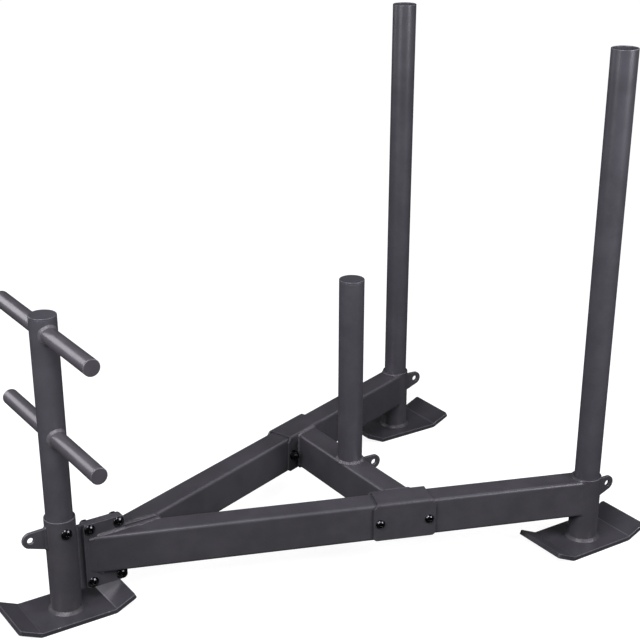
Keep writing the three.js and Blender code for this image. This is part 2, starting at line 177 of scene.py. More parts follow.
EAR_BASE_LOW = -0.026
EAR_HOLE_RADIUS = 0.006
BOLT_RADIUS = 0.005
JOINT_HEAD_RADIUS = 0.0105
SADDLE_HEAD_RADIUS = 0.00875
BOLT_HEAD_HEIGHT = 0.0052
BOLT_HEAD_LIP = 0.0009
BOLT_HEAD_FLAT = 0.0044
BOLT_END_PAST_NUT = 0.002
SOCKET_WIDTH = 0.006
SOCKET_DEPTH = 0.003
THREAD_PITCH = 0.0015
THREAD_DEPTH = 0.0005
NUT_WIDTH = 0.016
NUT_HEIGHT = 0.008
NUT_COLLAR_RADIUS = 0.007
NUT_COLLAR_HEIGHT = 0.0025
NUT_CHAMFER = 0.0008
THREAD_PLAY = 0.0003

# Small forms that the solids leave out, and how fine the surfaces are

BORDER = 0.001
HUB_SHARE = 0.2
SECTION_STEP = 0.003
JOINT_CORNER = 0.0025
EAR_SUNK = 0.0002
# Painted highlight along the skis' bends: the half width of its stations, its fade and its peak
BEND_SHEEN_HALF = 0.0012
BEND_SHEEN_FADE = 0.0016
BEND_SHEEN_PEAK = 0.75
SHARP_ANGLE = math.radians(44)
FASTENER_AROUND = 72
HEAD_ROUNDING = 0.0003
THREAD_LENGTH = 0.008
THREAD_POINT_SHARE = 0.82
SOCKET_CHAMFER = 0.0007
SOCKET_CONE = 0.0006
SOCKET_TIP_RADIUS = 0.0004
COLLAR_ROUNDING = 0.0012
COLLAR_FOOT = 0.0002
BORE_LIP_WIDTH = 0.0002
BORE_LIP_DEPTH = 0.0003
BORE_ENTRY = 0.0004
WASHER_ROUNDING = 0.0003
CAPPED_LIP_SHARE = 0.25

# Places that follow from these sizes

FRONT_POST = middle("front_post")
SKI_FLAT_HALF = SKI_LENGTH / 2 - SKI_RAMP_LENGTH * math.cos(SKI_RAMP_ANGLE)
SLEEVE_RADIUS = POST_RADIUS + SLEEVE_PLAY + SLEEVE_WALL
RAIL_MEET = np.array([0.0, FRONT_POST[1] + RAIL_MEET_BEHIND_POST, TUBE_MIDDLE])
RAIL_LENGTH = (middle("push_pole_right")[1] - RAIL_MEET[1]) / math.cos(RAIL_ANGLE)
STACK_HALF = WEB_THICKNESS / 2 + FLANGE_THICKNESS
MITRE_HALF = STACK_HALF + FIT_GAP
FLANGE_FRONT = lowest("flange_plate_right")[1]
FLANGE_REAR = FLANGE_FRONT + FLANGE_LENGTH
TONGUE_END = highest("flange_plate_right")[1]
SADDLE_SIDE = TUBE_WIDTH / 2 + FIT_GAP + SADDLE_THICKNESS
CROSSMEMBER_Y = middle("crossmember")[1]
SADDLE_STATION = (CROSSMEMBER_Y - RAIL_MEET[1] - SADDLE_SIDE * math.sin(RAIL_ANGLE)) / math.cos(RAIL_ANGLE)

NODE_SLOTS = {part["node"]: part["material_slot"] for part in frame["record"]["subparts"]}
NODE_BODIES = {
    node: body for body, nodes in frame["record"]["behaviour"]["bodies"].items() for node in nodes
}


# Outlines and paths, as arrays of points


def unit(vectors):
    return vectors / np.linalg.norm(vectors, axis=-1, keepdims=True)


def corner_arcs(before, corner, after, radius, steps):
    """Points of the arc of the given radius that touches both sides at each corner.

    With u and v the unit vectors from the corner to its neighbours, the arc's centre lies along u + v, and
    its points turn evenly from the touching point on one side to the one on the other.
    """
    radius = np.broadcast_to(np.asarray(radius, float), len(corner))[:, None]
    u, v = unit(before - corner), unit(after - corner)
    half = np.arccos(np.clip((u * v).sum(-1, keepdims=True), -1, 1)) / 2
    centre = corner + unit(u + v) * radius / np.sin(half)
    start = corner + u * radius / np.tan(half) - centre
    end = corner + v * radius / np.tan(half) - centre
    turn = (math.pi - 2 * half)[:, None]
    share = np.linspace(0, 1, steps + 1)[None, :, None]
    spread = np.sin((1 - share) * turn) * start[:, None] + np.sin(share * turn) * end[:, None]
    return (centre[:, None] + spread / np.sin(turn)).reshape(-1, 2)


def rounded_outline(corners, radius, steps=6):
    """Closed outline with an arc of `radius` in place of each corner."""
    corner = np.asarray(corners, float)
    return corner_arcs(np.roll(corner, 1, 0), corner, np.roll(corner, -1, 0), radius, steps)


def rounded_path(points, radius, steps=6):
    """Open path with an arc of `radius` in place of each corner between its two ends."""
    point = np.asarray(points, float)
    arcs = corner_arcs(point[:-2], point[1:-1], point[2:], radius, steps)
    return np.concatenate([point[:1], arcs, point[-1:]])


def rectangle(half_width, half_height):
    return [
        [half_width, half_height],
        [-half_width, half_height],
        [-half_width, -half_height],
        [half_width, -half_height],
    ]


def outline_normals(outline):
    """Outward unit normals of a closed outline that runs anticlockwise, from each point's two neighbours."""
    along = unit(np.roll(outline, -1, 0) - outline)
    both = along + np.roll(along, 1, 0)
    return unit(np.stack([both[:, 1], -both[:, 0]], -1))


def inset_directions(outline):
    """Moves for a closed anticlockwise outline that take each point 1 inwards from both of its sides."""
    along = unit(np.roll(outline, -1, 0) - outline)
    left = np.stack([-along[:, 1], along[:, 0]], -1)
    other = np.roll(left, 1, 0)
    return (left + other) / (1 + (left * other).sum(-1, keepdims=True))


def fine_places(outline, step):
    """Places along a closed outline, as its corner numbers and shares of its sides, `step` apart at most."""
    length = np.linalg.norm(np.roll(outline, -1, 0) - outline, axis=1)
    parts = np.maximum(1, np.ceil(length / step).astype(int))
    side = np.repeat(np.arange(len(outline)), parts)
    first = np.repeat(np.cumsum(parts) - parts, parts)
    return side + (np.arange(parts.sum()) - first) / np.repeat(parts, parts)


def points_at(outline, places):
    """Points of a closed outline at the given places."""
    low = np.floor(places).astype(int)
    share = (places - low)[:, None]
    return outline[low] * (1 - share) + outline[(low + 1) % len(outline)] * share


def with_borders(outline, closed=True):
    """The outline with two more points on each long side, BORDER away from its ends.

    They keep what is stored on the edges' points, such as wear, from spreading over the faces.
    """
    corners = np.arange(len(outline))
    sides = corners if closed else corners[:-1]
    length = np.linalg.norm(np.roll(outline, -1, 0) - outline, axis=1)[sides]
    long = length > 3 * BORDER
    share = BORDER / length[long]
    places = np.sort(np.concatenate([corners, sides[long] + share, sides[long] + 1 - share]))
    return points_at(outline, places)


def rounding_steps(radius, steps):
    """Inset and depth of a quarter circle that rounds an edge: radius (1 - sin t) and radius (1 - cos t)."""
    turn = np.linspace(0, QUARTER_TURN, steps + 1)
    return radius * (1 - np.sin(turn)), radius * (1 - np.cos(turn))


# Closed surfaces through rings of points


def faces_outward(points, quads, lids):
    """Turns every face round where the closed surface would otherwise hold a negative volume."""
    corner = points[quads]
    fans = [np.stack([np.full(len(lid) - 2, lid[0]), lid[1:-1], lid[2:]], -1) for lid in lids]
    triangles = np.concatenate([corner[:, [0, 1, 2]], corner[:, [0, 2, 3]]] + [points[fan] for fan in fans])
    volume = np.einsum("ij,ij->i", triangles[:, 0], np.cross(triangles[:, 1], triangles[:, 2])).sum()
    if volume > 0:
        return points, quads, lids
    return points, quads[:, ::-1], [lid[::-1] for lid in lids]


def skin(rings, ends):
    """Closed surface through rings (ring, point, xyz) with as many points each.

    Four-sided faces join each ring to the next. With ends "lids" the first and last ring are each closed by
    a flat face, and with ends "loop" the last ring is joined to the first.
    """
    index = np.arange(rings.shape[0] * rings.shape[1]).reshape(rings.shape[:2])
    low, high = (index, np.roll(index, -1, 0)) if ends == "loop" else (index[:-1], index[1:])
    quads = np.stack([low, np.roll(low, -1, 1), np.roll(high, -1, 1), high], -1).reshape(-1, 4)
    lids = [] if ends == "loop" else [index[0][::-1], index[-1]]
    return faces_outward(rings.reshape(-1, 3), quads, lids)


def moved(shell, matrix=None, offset=(0, 0, 0)):
    """The shell with its points multiplied by a 3 by 3 matrix, then shifted."""
    points, quads, lids = shell
    turned = points if matrix is None else points @ np.asarray(matrix, float).T
    return faces_outward(turned + np.asarray(offset, float), quads, lids)


def mirrored(shell):
    """The shell's copy on the other side of the plane x = 0."""
    return moved(shell, np.diag([-1, 1, 1]))


def turned_surface(profile, around, ends):
    """Surface of revolution about Z: each profile point (r, z) gives the ring (r cos t, r sin t, z)."""
    turn = np.linspace(0, FULL_TURN, around, endpoint=False)
    radius, height = profile[:, :1], profile[:, 1:]
    rings = np.stack([radius * np.cos(turn), radius * np.sin(turn), height + 0 * turn], -1)
    return skin(rings, ends)


def pipe(outer, wall, low, high, lip, around):
    """Round pipe about Z from z = low to z = high, with both lips rounded."""
    inner = outer - wall
    outline = rounded_outline([[outer, low], [outer, high], [inner, high], [inner, low]], lip, 4)
    return turned_surface(with_borders(outline), around, "loop")


def round_cap(radius, thickness, rounding, around):
    """Disc that stands on z = 0, with its top edge rounded. Flat lids close it inside the hub's radius."""
    hub = radius * HUB_SHARE
    profile = rounded_path(
        [[hub, 0], [radius, 0], [radius, thickness], [hub, thickness]], [rounding * 0.1, rounding]
    )
    return turned_surface(with_borders(profile, False), around, "lids")


def plate_edges(edge, thickness):
    """Inset and place across a plate of each ring round its edge, from one face over to the other."""
    inset, depth = rounding_steps(edge, 4)
    inset = np.concatenate([[edge + BORDER], inset])
    across = np.concatenate([[0], depth]) - thickness / 2
    return np.concatenate([inset, inset[::-1]]), np.concatenate([across, -across[::-1]])


def flat_plate(outline, thickness, edge):
    """Flat plate across X from an anticlockwise outline in (y, z), with its edges rounded all round."""
    inset, across = plate_edges(edge, thickness)
    ring = outline[None] + inset[:, None, None] * inset_directions(outline)[None]
    x = np.broadcast_to(across[:, None, None], ring[..., :1].shape)
    return skin(np.concatenate([x, ring], -1), "lids")


def bent_plate(path, normals, stations, half_width, thickness, edge):
    """Plate bent along a path, as points (u, v, w) with w across the width.

    `path` is the inner face's line in (u, v) and `normals` point to the outer face. At each station, a length
    along the path, the section is a rectangle from -half_width to half_width with rounded corners. The first
    and last sections are drawn in, so that the plate's ends are rounded as well.
    """
    length = np.concatenate([[0], np.cumsum(np.linalg.norm(np.diff(path, axis=0), axis=1))])
    place = np.stack([np.interp(stations, length, path[:, k]) for k in range(2)], -1)
    normal = unit(np.stack([np.interp(stations, length, normals[:, k]) for k in range(2)], -1))
    from_end = np.minimum(stations, length[-1] - stations)
    drawn_in = edge - np.sqrt(np.maximum(edge**2 - np.maximum(edge - from_end, 0) ** 2, 0))
    section = with_borders(rounded_outline(rectangle(1, thickness / 2), edge, 4))
    side = np.sign(section[:, 0])
    across = section[None, :, 0] + side * (half_width[:, None] - 1 - drawn_in[:, None])
    depth = np.clip(section[None, :, 1], drawn_in[:, None] - thickness / 2, thickness / 2 - drawn_in[:, None])
    depth = depth + thickness / 2
    rings = np.concatenate([place[:, None] + normal[:, None] * depth[..., None], across[..., None]], -1)
    return skin(rings, "lids")


def end_stations(length, edge, corner):
    """Stations that follow the rounded edge and the rounded corners at both ends of a bent plate."""
    turn = np.linspace(0, QUARTER_TURN, 9)
    near = np.concatenate([edge * (1 - np.cos(turn)), corner * (1 - np.cos(turn))])
    return np.concatenate([near, length - near])


def corner_width(stations, length, half_width, corner):
    """Half width of a plate with round corners: w - c + sqrt(c^2 - (c - d)^2) at distance d from an end."""
    from_end = np.minimum(stations, length - stations)
    return half_width - corner + np.sqrt(np.maximum(corner**2 - np.maximum(corner - from_end, 0) ** 2, 0))


def square_tube(front, rear):
    """Rectangular tube along Y, open at both ends, which are cut at y = front(x) and y = rear(x)."""
    outer = rounded_outline(rectangle(TUBE_WIDTH / 2, TUBE_HEIGHT / 2), TUBE_CORNER)
    inner = rounded_outline(
        rectangle(TUBE_WIDTH / 2 - TUBE_WALL, TUBE_HEIGHT / 2 - TUBE_WALL), TUBE_CORNER - TUBE_WALL
    )
    places = fine_places(outer, SECTION_STEP)
    rings = []
    for section in (outer, inner):
        x, z = points_at(section, places).T
        along = [front(x), front(x) + BORDER, rear(x) - BORDER, rear(x)]
        sides = [np.stack([x, y, z], -1) for y in along]
        rings += sides if section is outer else sides[::-1]
    return skin(np.stack(rings), "loop")


# Where the tubes are cut, as functions of the place across the tube


def mitre_cut(x):
    """The rail's front end lies on the plane x = MITRE_HALF of the sled."""
    return (MITRE_HALF - x * math.cos(RAIL_ANGLE)) / math.sin(RAIL_ANGLE)


def mitre_y(x):
    """Place along the sled of the rail's mitre, at the place x across the tube."""
    return RAIL_MEET[1] - x * math.sin(RAIL_ANGLE) + mitre_cut(x) * math.cos(RAIL_ANGLE)


def sleeve_cut(x):
    """The rail's rear end follows the round sleeve."""
    return RAIL_LENGTH - np.sqrt((SLEEVE_RADIUS + FIT_GAP) ** 2 - x**2)


# Places on the rails, which are drawn along +Y and then turned outwards


def rail_matrix():
    """Turn about Z that takes +Y to the right rail's direction."""
    cos, sin = math.cos(RAIL_ANGLE), math.sin(RAIL_ANGLE)
    return np.array([[cos, sin, 0], [-sin, cos, 0], [0, 0, 1]])


def on_rail(shell, station=0.0):
    """Takes a shell drawn about the rail's line to the right rail, `station` behind the meeting point."""
    return moved(moved(shell, None, (0, station, 0)), rail_matrix(), RAIL_MEET)


# Weld beads

# Legs, as shares of the usual leg
SLEEVE_FOOT_LEG = 1.25
POST_FOOT_LEG = 1.1
RAISED_LEG = 0.9
EAR_LEG = 0.8
RAIL_REAR_LEG = 0.62

# Lengths and places in metres, counts and shares
TIP_LEG = 0.004
TIP_INSET = TUBE_CORNER * 0.7
EAR_BASE_CORNER = 0.0015
WEB_BEAD_INSET = 0.001
HEAD_BEAD_LEAD = 0.006
BEAD_OVERRUN = 0.002
SEAM_OUTBOARD = 0.0004
SEAM_LEAD = 0.004
SEAM_HEIGHT = 0.5
LUMP_START = (0.002, -0.004, -0.001)
LUMP_END = (0.0005, 0.006, 0.002)
LUMP_NORMAL = (0.8, 0.0, 0.6)
LUMP_HALF_WIDTH = 0.0024
LUMP_HEIGHT = 0.0018
PLATE_END_HEIGHT = 0.006
PLATE_END_INSET = 0.003
BEAD_STEP = 0.002
LINE_POINTS = 60
RING_POINTS = 180
POINTS_PER_RIPPLE = 6
RIPPLE_ROUNDNESS = 0.98
RIPPLE_LEVEL = 0.75
CORNER_CRESCENT = 0.55
FLAT_CRESCENT = 0.9
FLAT_RIPPLE_GAIN = 1.6
FLAT_UNEVEN_GAIN = 1.5
SIDE_WANDER = 0.25
SIDE_WANDER_LENGTH = 0.009
SIZE_WANDER_LENGTH = 0.006
WAVE_RATES = (1.0, 1.73, 2.9, 4.7)
WAVE_RANGE = 2.6
CORNER_BLUNTNESS = 0.05
FLAT_BLUNTNESS = 0.04
ROOT_DEPTH = 0.4


def bumps(along, size, seed):
    """Smooth unevenness between about -1 and 1: a sum of sines whose lengths don't match."""
    phase = np.random.default_rng(seed).uniform(0, FULL_TURN, len(WAVE_RATES))
    waves = [np.sin(along / size * rate + start) for rate, start in zip(WAVE_RATES, phase)]
    return np.stack(waves).sum(0) / WAVE_RANGE


def crescents(stations, total, length, lead):
    """Ripples as half circles end to end, about `length` long each, a whole number of them on the bead.

    `lead` says how far each point of the section runs ahead, in ripples, which bends them into crescents.
    """
    pitch = total / max(1, round(total / length))
    place = (stations[:, None] / pitch + lead) % 1
    return np.sqrt(1 - (2 * place - 1) ** 2 * RIPPLE_ROUNDNESS) - RIPPLE_LEVEL


def everywhere(direction, path):
    """The same direction at every point of a path."""
    return np.broadcast_to(np.asarray(direction, float), path.shape)


def path_lengths(path, closed):
    """Distance of each point from the start of the path, and of the start again where it is closed."""
    ends = np.concatenate([path, path[:1]]) if closed else path
    return np.concatenate([[0], np.cumsum(np.linalg.norm(np.diff(ends, axis=0), axis=1))])


def even_path(path, closed, step, *others):
    """The path and the arrays that go with it, interpolated to points about `step` apart."""
    length = path_lengths(path, closed)
    count = max(8, int(length[-1] / step))
    stations = np.linspace(0, length[-1], count, endpoint=not closed)
    sets = []
    for values in (path, *others):
        ends = np.concatenate([values, values[:1]]) if closed else values
        sets.append(np.stack([np.interp(stations, length, ends[:, k]) for k in range(3)], -1))
    return stations, sets


def weld_bead(path, first, second, closed, leg, form, seed=0, stretch=1.0, relief=1.0, lean=1.0):
    """Bead in the corner between two surfaces that meet along `path`.

    `first` and `second` are the surfaces' outward normals there. With a and b the directions away from the
    corner in each surface, the bead's face runs from leg a to leg b through
    leg (1 + bulge sin 2t) (a cos t + lean b sin t) / (cos t + sin t), t from 0 to a quarter turn. Crescent
    ripples, `stretch` pitches long, swell the bead, and slow unevenness changes its size, both in the
    share `relief`. A ground bead with little relief bulges less too. Its root lies inside the steel.
    """
    stations, (root, n1, n2) = even_path(path, closed, form.bead_pitch / POINTS_PER_RIPPLE, first, second)
    n1, n2 = unit(n1), unit(n2)
    overlap = (n1 * n2).sum(-1, keepdims=True)
    a, b = unit(n2 - overlap * n1), unit(n1 - overlap * n2)
    total = path_lengths(path, closed)[-1]
    t = np.linspace(0, QUARTER_TURN, 9)
    ripple = crescents(stations, total, form.bead_pitch * stretch, CORNER_CRESCENT * np.sin(2 * t))
    uneven = 1 + form.bead_unevenness * relief * bumps(stations, SIZE_WANDER_LENGTH * stretch, seed)
    size = leg * uneven[:, None] * (1 + form.bead_ripple * relief * ripple)
    if not closed:
        share = np.minimum(stations, total - stations) / leg
        size = size * np.sqrt(np.clip(share, CORNER_BLUNTNESS, 1))[:, None]
    reach = size * (1 + form.bead_bulge * min(relief, 1) * np.sin(2 * t)) / (np.cos(t) + np.sin(t))
    sides = np.cos(t)[:, None] * a[:, None] + lean * np.sin(t)[:, None] * b[:, None]
    face = root[:, None] + reach[..., None] * sides
    sunk = (root - leg * ROOT_DEPTH * unit(n1 + n2))[:, None]
    return skin(np.concatenate([face, sunk], 1), "loop" if closed else "lids")


def flat_bead(path, normal, half_width, height, form, seed=0, stretch=1.0, relief=1.0):
    """Bead laid on an open seam between flush faces: a half ellipse, half_width to each side and `height` up.

    Its ripples and its unevenness are scaled as a weld_bead's are, and it wanders sideways as well.
    """
    step = form.bead_pitch / POINTS_PER_RIPPLE
    stations, (root, up) = even_path(path, False, step, everywhere(normal, path))
    tangent = unit(np.gradient(root, axis=0))
    across = np.cross(tangent, up)
    total = stations[-1]
    t = np.linspace(0, math.pi, 13)
    crescent = crescents(stations, total, form.bead_pitch * stretch, FLAT_CRESCENT * np.sin(t))
    ripple = 1 + form.bead_ripple * FLAT_RIPPLE_GAIN * relief * crescent
    sway = bumps(stations, SIDE_WANDER_LENGTH * stretch, seed + 1)
    sideways = SIDE_WANDER * half_width * relief * sway
    wander = bumps(stations, SIZE_WANDER_LENGTH * stretch, seed)
    uneven = 1 + form.bead_unevenness * FLAT_UNEVEN_GAIN * relief * wander
    from_end = np.minimum(stations, total - stations)
    taper = np.sqrt(np.clip(from_end / half_width, FLAT_BLUNTNESS, 1))
    wide = (half_width * uneven * taper)[:, None] * np.cos(t) + sideways[:, None]
    tall = (height * uneven * taper)[:, None] * np.sin(t) * ripple
    face = root[:, None] + wide[..., None] * across[:, None] + tall[..., None] * up[:, None]
    sunk = (root - height * up)[:, None]
    return skin(np.concatenate([face, sunk], 1), "lids")


def ring_bead(centre, radius, leg, form, seed, relief):
    """Bead round the foot of an upright tube that stands on a level face."""
    turn = np.linspace(0, FULL_TURN, RING_POINTS, endpoint=False)
    out = np.stack([np.cos(turn), np.sin(turn), 0 * turn], -1)
    foot = np.asarray(centre) + radius * out
    return weld_bead(foot, everywhere((0, 0, 1), out), out, True, leg, form, seed, relief=relief)


# Pieces in the scene


def put(name, shells):
    """Makes one mesh object of closed shells, and stores on each point how sharply the surface bends."""
    points, faces, count = [], [], 0
    for shell_points, quads, lids in shells:
        points.append(shell_points)
        faces += (quads + count).tolist() + [(lid + count).tolist() for lid in lids]
        count += len(shell_points)
    mesh = bpy.data.meshes.new(name)
    mesh.from_pydata(np.concatenate(points), [], faces, shade_flat=False)
    mesh.update()
    mesh.set_sharp_from_angle(angle=SHARP_ANGLE)
    store_edges(mesh)
    piece = bpy.data.objects.new(name, mesh)
    bpy.context.scene.collection.objects.link(piece)
    even = piece.modifiers.new("Flat faces shade flat", "WEIGHTED_NORMAL")
    even.keep_sharp = True
    return piece


def store_bend_sheen(piece, share):
    """Point attribute for the painted highlight along each bend's inner line, from 0 to 1."""
    piece.data.attributes.new("bend_sheen", "FLOAT", "POINT").data.foreach_set("value", share)


def store_edges(mesh):
    """Point attribute "edge": one minus the least cosine between a point's normal and its faces' normals."""
    face_normals = np.zeros(len(mesh.polygons) * 3, np.float32)
    point_normals = np.zeros(len(mesh.vertices) * 3, np.float32)
    sides = np.zeros(len(mesh.polygons), np.int32)
    corner_points = np.zeros(len(mesh.loops), np.int32)
    mesh.polygons.foreach_get("normal", face_normals)
    mesh.vertices.foreach_get("normal", point_normals)
    mesh.polygons.foreach_get("loop_total", sides)
    mesh.loops.foreach_get("vertex_index", corner_points)
    of_face = np.repeat(face_normals.reshape(-1, 3), sides, axis=0)
    of_point = point_normals.reshape(-1, 3)[corner_points]
    bend = np.zeros(len(mesh.vertices), np.float32)
    np.maximum.at(bend, corner_points, 1 - (of_face * of_point).sum(-1))
    mesh.attributes.new("edge", "FLOAT", "POINT").data.foreach_set("value", bend)


def dress(node, shells, material=None):
    """Puts a finer surface in place of a node, on the node's body and in its material slot's paint."""
    piece = put(node + "_skin", shells)
    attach(piece, NODE_BODIES[node])
    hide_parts(node)
    piece.data.materials.append(material or paint(NODE_SLOTS[node]))
    return piece


def add_beads(name, shells, coat="weld_paint"):
    """Puts weld beads in the scene, on the frame's body and in the given coat."""
    piece = put(name, shells)
    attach(piece, "frame")
    piece.data.materials.append(paint(coat))
    return piece


# Paints and metals

FRAME_RELIEF = 0.00004
BEAD_RELIEF = 0.00003
POST_RELIEF = 0.000015
HANDLE_RELIEF = 0.00001
TURNING_RELIEF = 0.000004
GRAIN_SCALE = 700.0
BLOOM_SCALE = 240.0
TURNING_SCALE = 1600.0
# How much lighter the painted highlight on sharp edges and bend lines is
SHEEN_GAIN = 2.8
SPECKLE_GAIN = 1.5
SPECKLE_SHARE = 0.3
HANDLE_WEAR = 0.05
HANDLE_FILM = 0.45


def group_socket(group, name, kind, direction, default=None):
    socket = group.interface.new_socket(name=name, in_out=direction, socket_type=kind)
    if default is not None:
        socket.default_value = default
    return socket


def set_or_link(tree, socket, value):
    """Links the socket to an output, or sets it to a number or a colour."""
    if isinstance(value, bpy.types.NodeSocket):
        tree.links.new(value, socket)
    elif socket.type == "RGBA":
        socket.default_value = (*value[:3], 1.0)
    else:
        socket.default_value = value


def noise(tree, vector, scale, detail, roughness=0.5):
    node = tree.nodes.new("ShaderNodeTexNoise")
    for name, value in (("Vector", vector), ("Scale", scale), ("Detail", detail), ("Roughness", roughness)):
        set_or_link(tree, node.inputs[name], value)
    return node.outputs["Fac"]


def calculate(tree, operation, *values):
    node = tree.nodes.new("ShaderNodeMath")
    node.operation = operation
    for socket, value in zip(node.inputs, values):
        set_or_link(tree, socket, value)
    return node.outputs[0]


def remap(tree, value, low, high, new_low, new_high, smooth=False):
    """The value taken from the span low to high to the span new_low to new_high, and kept inside it."""
    node = tree.nodes.new("ShaderNodeMapRange")
    node.interpolation_type = "SMOOTHSTEP" if smooth else "LINEAR"
    names = ("Value", "From Min", "From Max", "To Min", "To Max")
    for name, number in zip(names, (value, low, high, new_low, new_high)):
        set_or_link(tree, node.inputs[name], number)
    return node.outputs["Result"]


def mix_colour(tree, share, first, second):
    node = tree.nodes.new("ShaderNodeMix")
    node.data_type = "RGBA"
    tree.links.new(share, node.inputs["Factor"])
    of_colour = [socket for socket in node.inputs if socket.type == "RGBA"]
    for socket, value in zip(of_colour, (first, second)):
        set_or_link(tree, socket, value)
    return next(socket for socket in node.outputs if socket.type == "RGBA")


def powder_group():
    """Node group for powder coat: a fine orange-peel height, slow patches, and scattered light specks."""
    group = bpy.data.node_groups.get("Powder grain")
    if group:
        return group
    group = bpy.data.node_groups.new("Powder grain", "ShaderNodeTree")
    group_socket(group, "Vector", "NodeSocketVector", "INPUT")
    group_socket(group, "Grain Scale", "NodeSocketFloat", "INPUT", GRAIN_SCALE)
    group_socket(group, "Patch Scale", "NodeSocketFloat", "INPUT", 18.0)
    for name in ("Height", "Patches", "Speckle"):
        group_socket(group, name, "NodeSocketFloat", "OUTPUT")
    source = group.nodes.new("NodeGroupInput")
    result = group.nodes.new("NodeGroupOutput")
    vector, grain, patch = source.outputs[0], source.outputs[1], source.outputs[2]

    fine = noise(group, vector, grain, detail=2.0, roughness=0.55)
    coarse = noise(group, vector, calculate(group, "MULTIPLY", grain, 0.22), detail=2.0)
    fine_part = calculate(group, "MULTIPLY", fine, 0.6)
    coarse_part = calculate(group, "MULTIPLY", coarse, 0.4)
    group.links.new(calculate(group, "ADD", fine_part, coarse_part), result.inputs["Height"])

    slow = noise(group, vector, patch, detail=4.0, roughness=0.6)
    group.links.new(remap(group, slow, 0.3, 0.7, 0.0, 1.0, smooth=True), result.inputs["Patches"])

    specks = noise(group, vector, calculate(group, "MULTIPLY", grain, 0.6), detail=1.0)
    group.links.new(remap(group, specks, 0.62, 0.75, 0.0, 1.0), result.inputs["Speckle"])
    return group


def wear_group():
    """Node group for edges: where the surface bends sharply, which masks both the chips and the painted edge
    highlight, and where a broken noise chips it.
    """
    group = bpy.data.node_groups.get("Edge wear and sheen")
    if group:
        return group
    group = bpy.data.node_groups.new("Edge wear and sheen", "ShaderNodeTree")
    group_socket(group, "Vector", "NodeSocketVector", "INPUT")
    group_socket(group, "Edge", "NodeSocketFloat", "INPUT", 0.0)
    group_socket(group, "Amount", "NodeSocketFloat", "INPUT", 0.3)
    group_socket(group, "Chip Scale", "NodeSocketFloat", "INPUT", 90.0)
    for name in ("Chips", "Sheen Edge"):
        group_socket(group, name, "NodeSocketFloat", "OUTPUT")
    source = group.nodes.new("NodeGroupInput")
    result = group.nodes.new("NodeGroupOutput")
    vector, edge, amount, scale = (source.outputs[k] for k in range(4))

    bend = remap(group, edge, 0.004, 0.02, 0.0, 1.0, smooth=True)
    broken = noise(group, vector, scale, detail=5.0, roughness=0.65)
    limit = calculate(group, "SUBTRACT", 0.84, calculate(group, "MULTIPLY", amount, 0.34))
    chips = remap(group, broken, limit, calculate(group, "ADD", limit, 0.03), 0.0, 1.0)
    group.links.new(calculate(group, "MULTIPLY", bend, chips), result.inputs["Chips"])
    # Sharp bends, where the coat is given a painted highlight
    group.links.new(bend, result.inputs["Sheen Edge"])
    return group


def new_material(name):
    """A material with its node tree, its shader and the Object coordinates."""
    material = bpy.data.materials.new(name)
    material.use_nodes = True
    tree = material.node_tree
    place = tree.nodes.new("ShaderNodeTexCoord").outputs["Object"]
    return material, tree, tree.nodes["Principled BSDF"], place


def attribute(tree, name):
    node = tree.nodes.new("ShaderNodeAttribute")
    node.attribute_name = name
    return node.outputs["Fac"]


def placed_group(tree, group, inputs):
    """A shader group in a material, with its inputs set or linked."""
    node = tree.nodes.new("ShaderNodeGroup")
    node.node_tree = group
    for name, value in inputs.items():
        set_or_link(tree, node.inputs[name], value)
    return node.outputs


def bump(tree, shader, height, distance):
    """Lets a height stand out from the surface by `distance`."""
    node = tree.nodes.new("ShaderNodeBump")
    node.inputs["Strength"].default_value = 1.0
    node.inputs["Distance"].default_value = distance
    tree.links.new(height, node.inputs["Height"])
    tree.links.new(node.outputs["Normal"], shader.inputs["Normal"])


def coated_steel(name, finish, colour, roughness, relief=FRAME_RELIEF, wear=0.0, edge_sheen=0.0, film=0.0):
    """Powder-coated steel: patches and grain in colour and roughness, and relief from the grain.

    Sharp edges get a painted highlight, a lighter colour, and are chipped by `wear`, where a broken noise
    lets the steel through. The skis' bend lines get the painted highlight too. `film` is the weight of a
    clear film.
    """
    material, tree, shader, place = new_material(name)
    powder = placed_group(tree, powder_group(), {"Vector": place, "Grain Scale": GRAIN_SCALE})
    edge = attribute(tree, "edge")
    wear_and_sheen = placed_group(tree, wear_group(), {"Vector": place, "Edge": edge, "Amount": wear})

    base = np.array(colour[:3])
    patchy = mix_colour(tree, powder["Patches"], base * 0.9, base * 1.1)
    specks = calculate(tree, "MULTIPLY", powder["Speckle"], SPECKLE_SHARE)
    speckled = mix_colour(tree, specks, patchy, base * SPECKLE_GAIN)
    # Painted highlight: sharp edges and the skis' bend lines take a lighter colour
    sheen_at_edges = calculate(tree, "MULTIPLY", wear_and_sheen["Sheen Edge"], edge_sheen)
    sheen_mask = calculate(tree, "MAXIMUM", sheen_at_edges, attribute(tree, "bend_sheen"))
    with_sheen = mix_colour(tree, sheen_mask, speckled, base * SHEEN_GAIN)
    chipped = mix_colour(tree, wear_and_sheen["Chips"], with_sheen, finish.bare_steel)
    tree.links.new(chipped, shader.inputs["Base Color"])

    rough = remap(tree, powder["Patches"], 0.0, 1.0, roughness * 0.92, roughness * 1.08)
    tree.links.new(rough, shader.inputs["Roughness"])
    bump(tree, shader, powder["Height"], relief)
    if film:
        shader.inputs["Coat Weight"].default_value = film
        shader.inputs["Coat Roughness"].default_value = finish.coat_roughness
    return material


def blackened_steel(name, colour, roughness):
    """Oiled black steel of bolts and nuts: metal with fine turning marks and a slight bloom."""
    material, tree, shader, place = new_material(name)
    mottle = noise(tree, place, BLOOM_SCALE, detail=3.0)
    bloom = remap(tree, mottle, 0.35, 0.7, 0.0, 1.0, smooth=True)
    base = np.array(colour[:3])
    tree.links.new(mix_colour(tree, bloom, base, base * 1.7), shader.inputs["Base Color"])
    rough = remap(tree, bloom, 0.0, 1.0, roughness * 0.85, roughness * 1.25)
    tree.links.new(rough, shader.inputs["Roughness"])
    shader.inputs["Metallic"].default_value = 1.0
    bump(tree, shader, noise(tree, place, TURNING_SCALE, detail=2.0), TURNING_RELIEF)
    return material


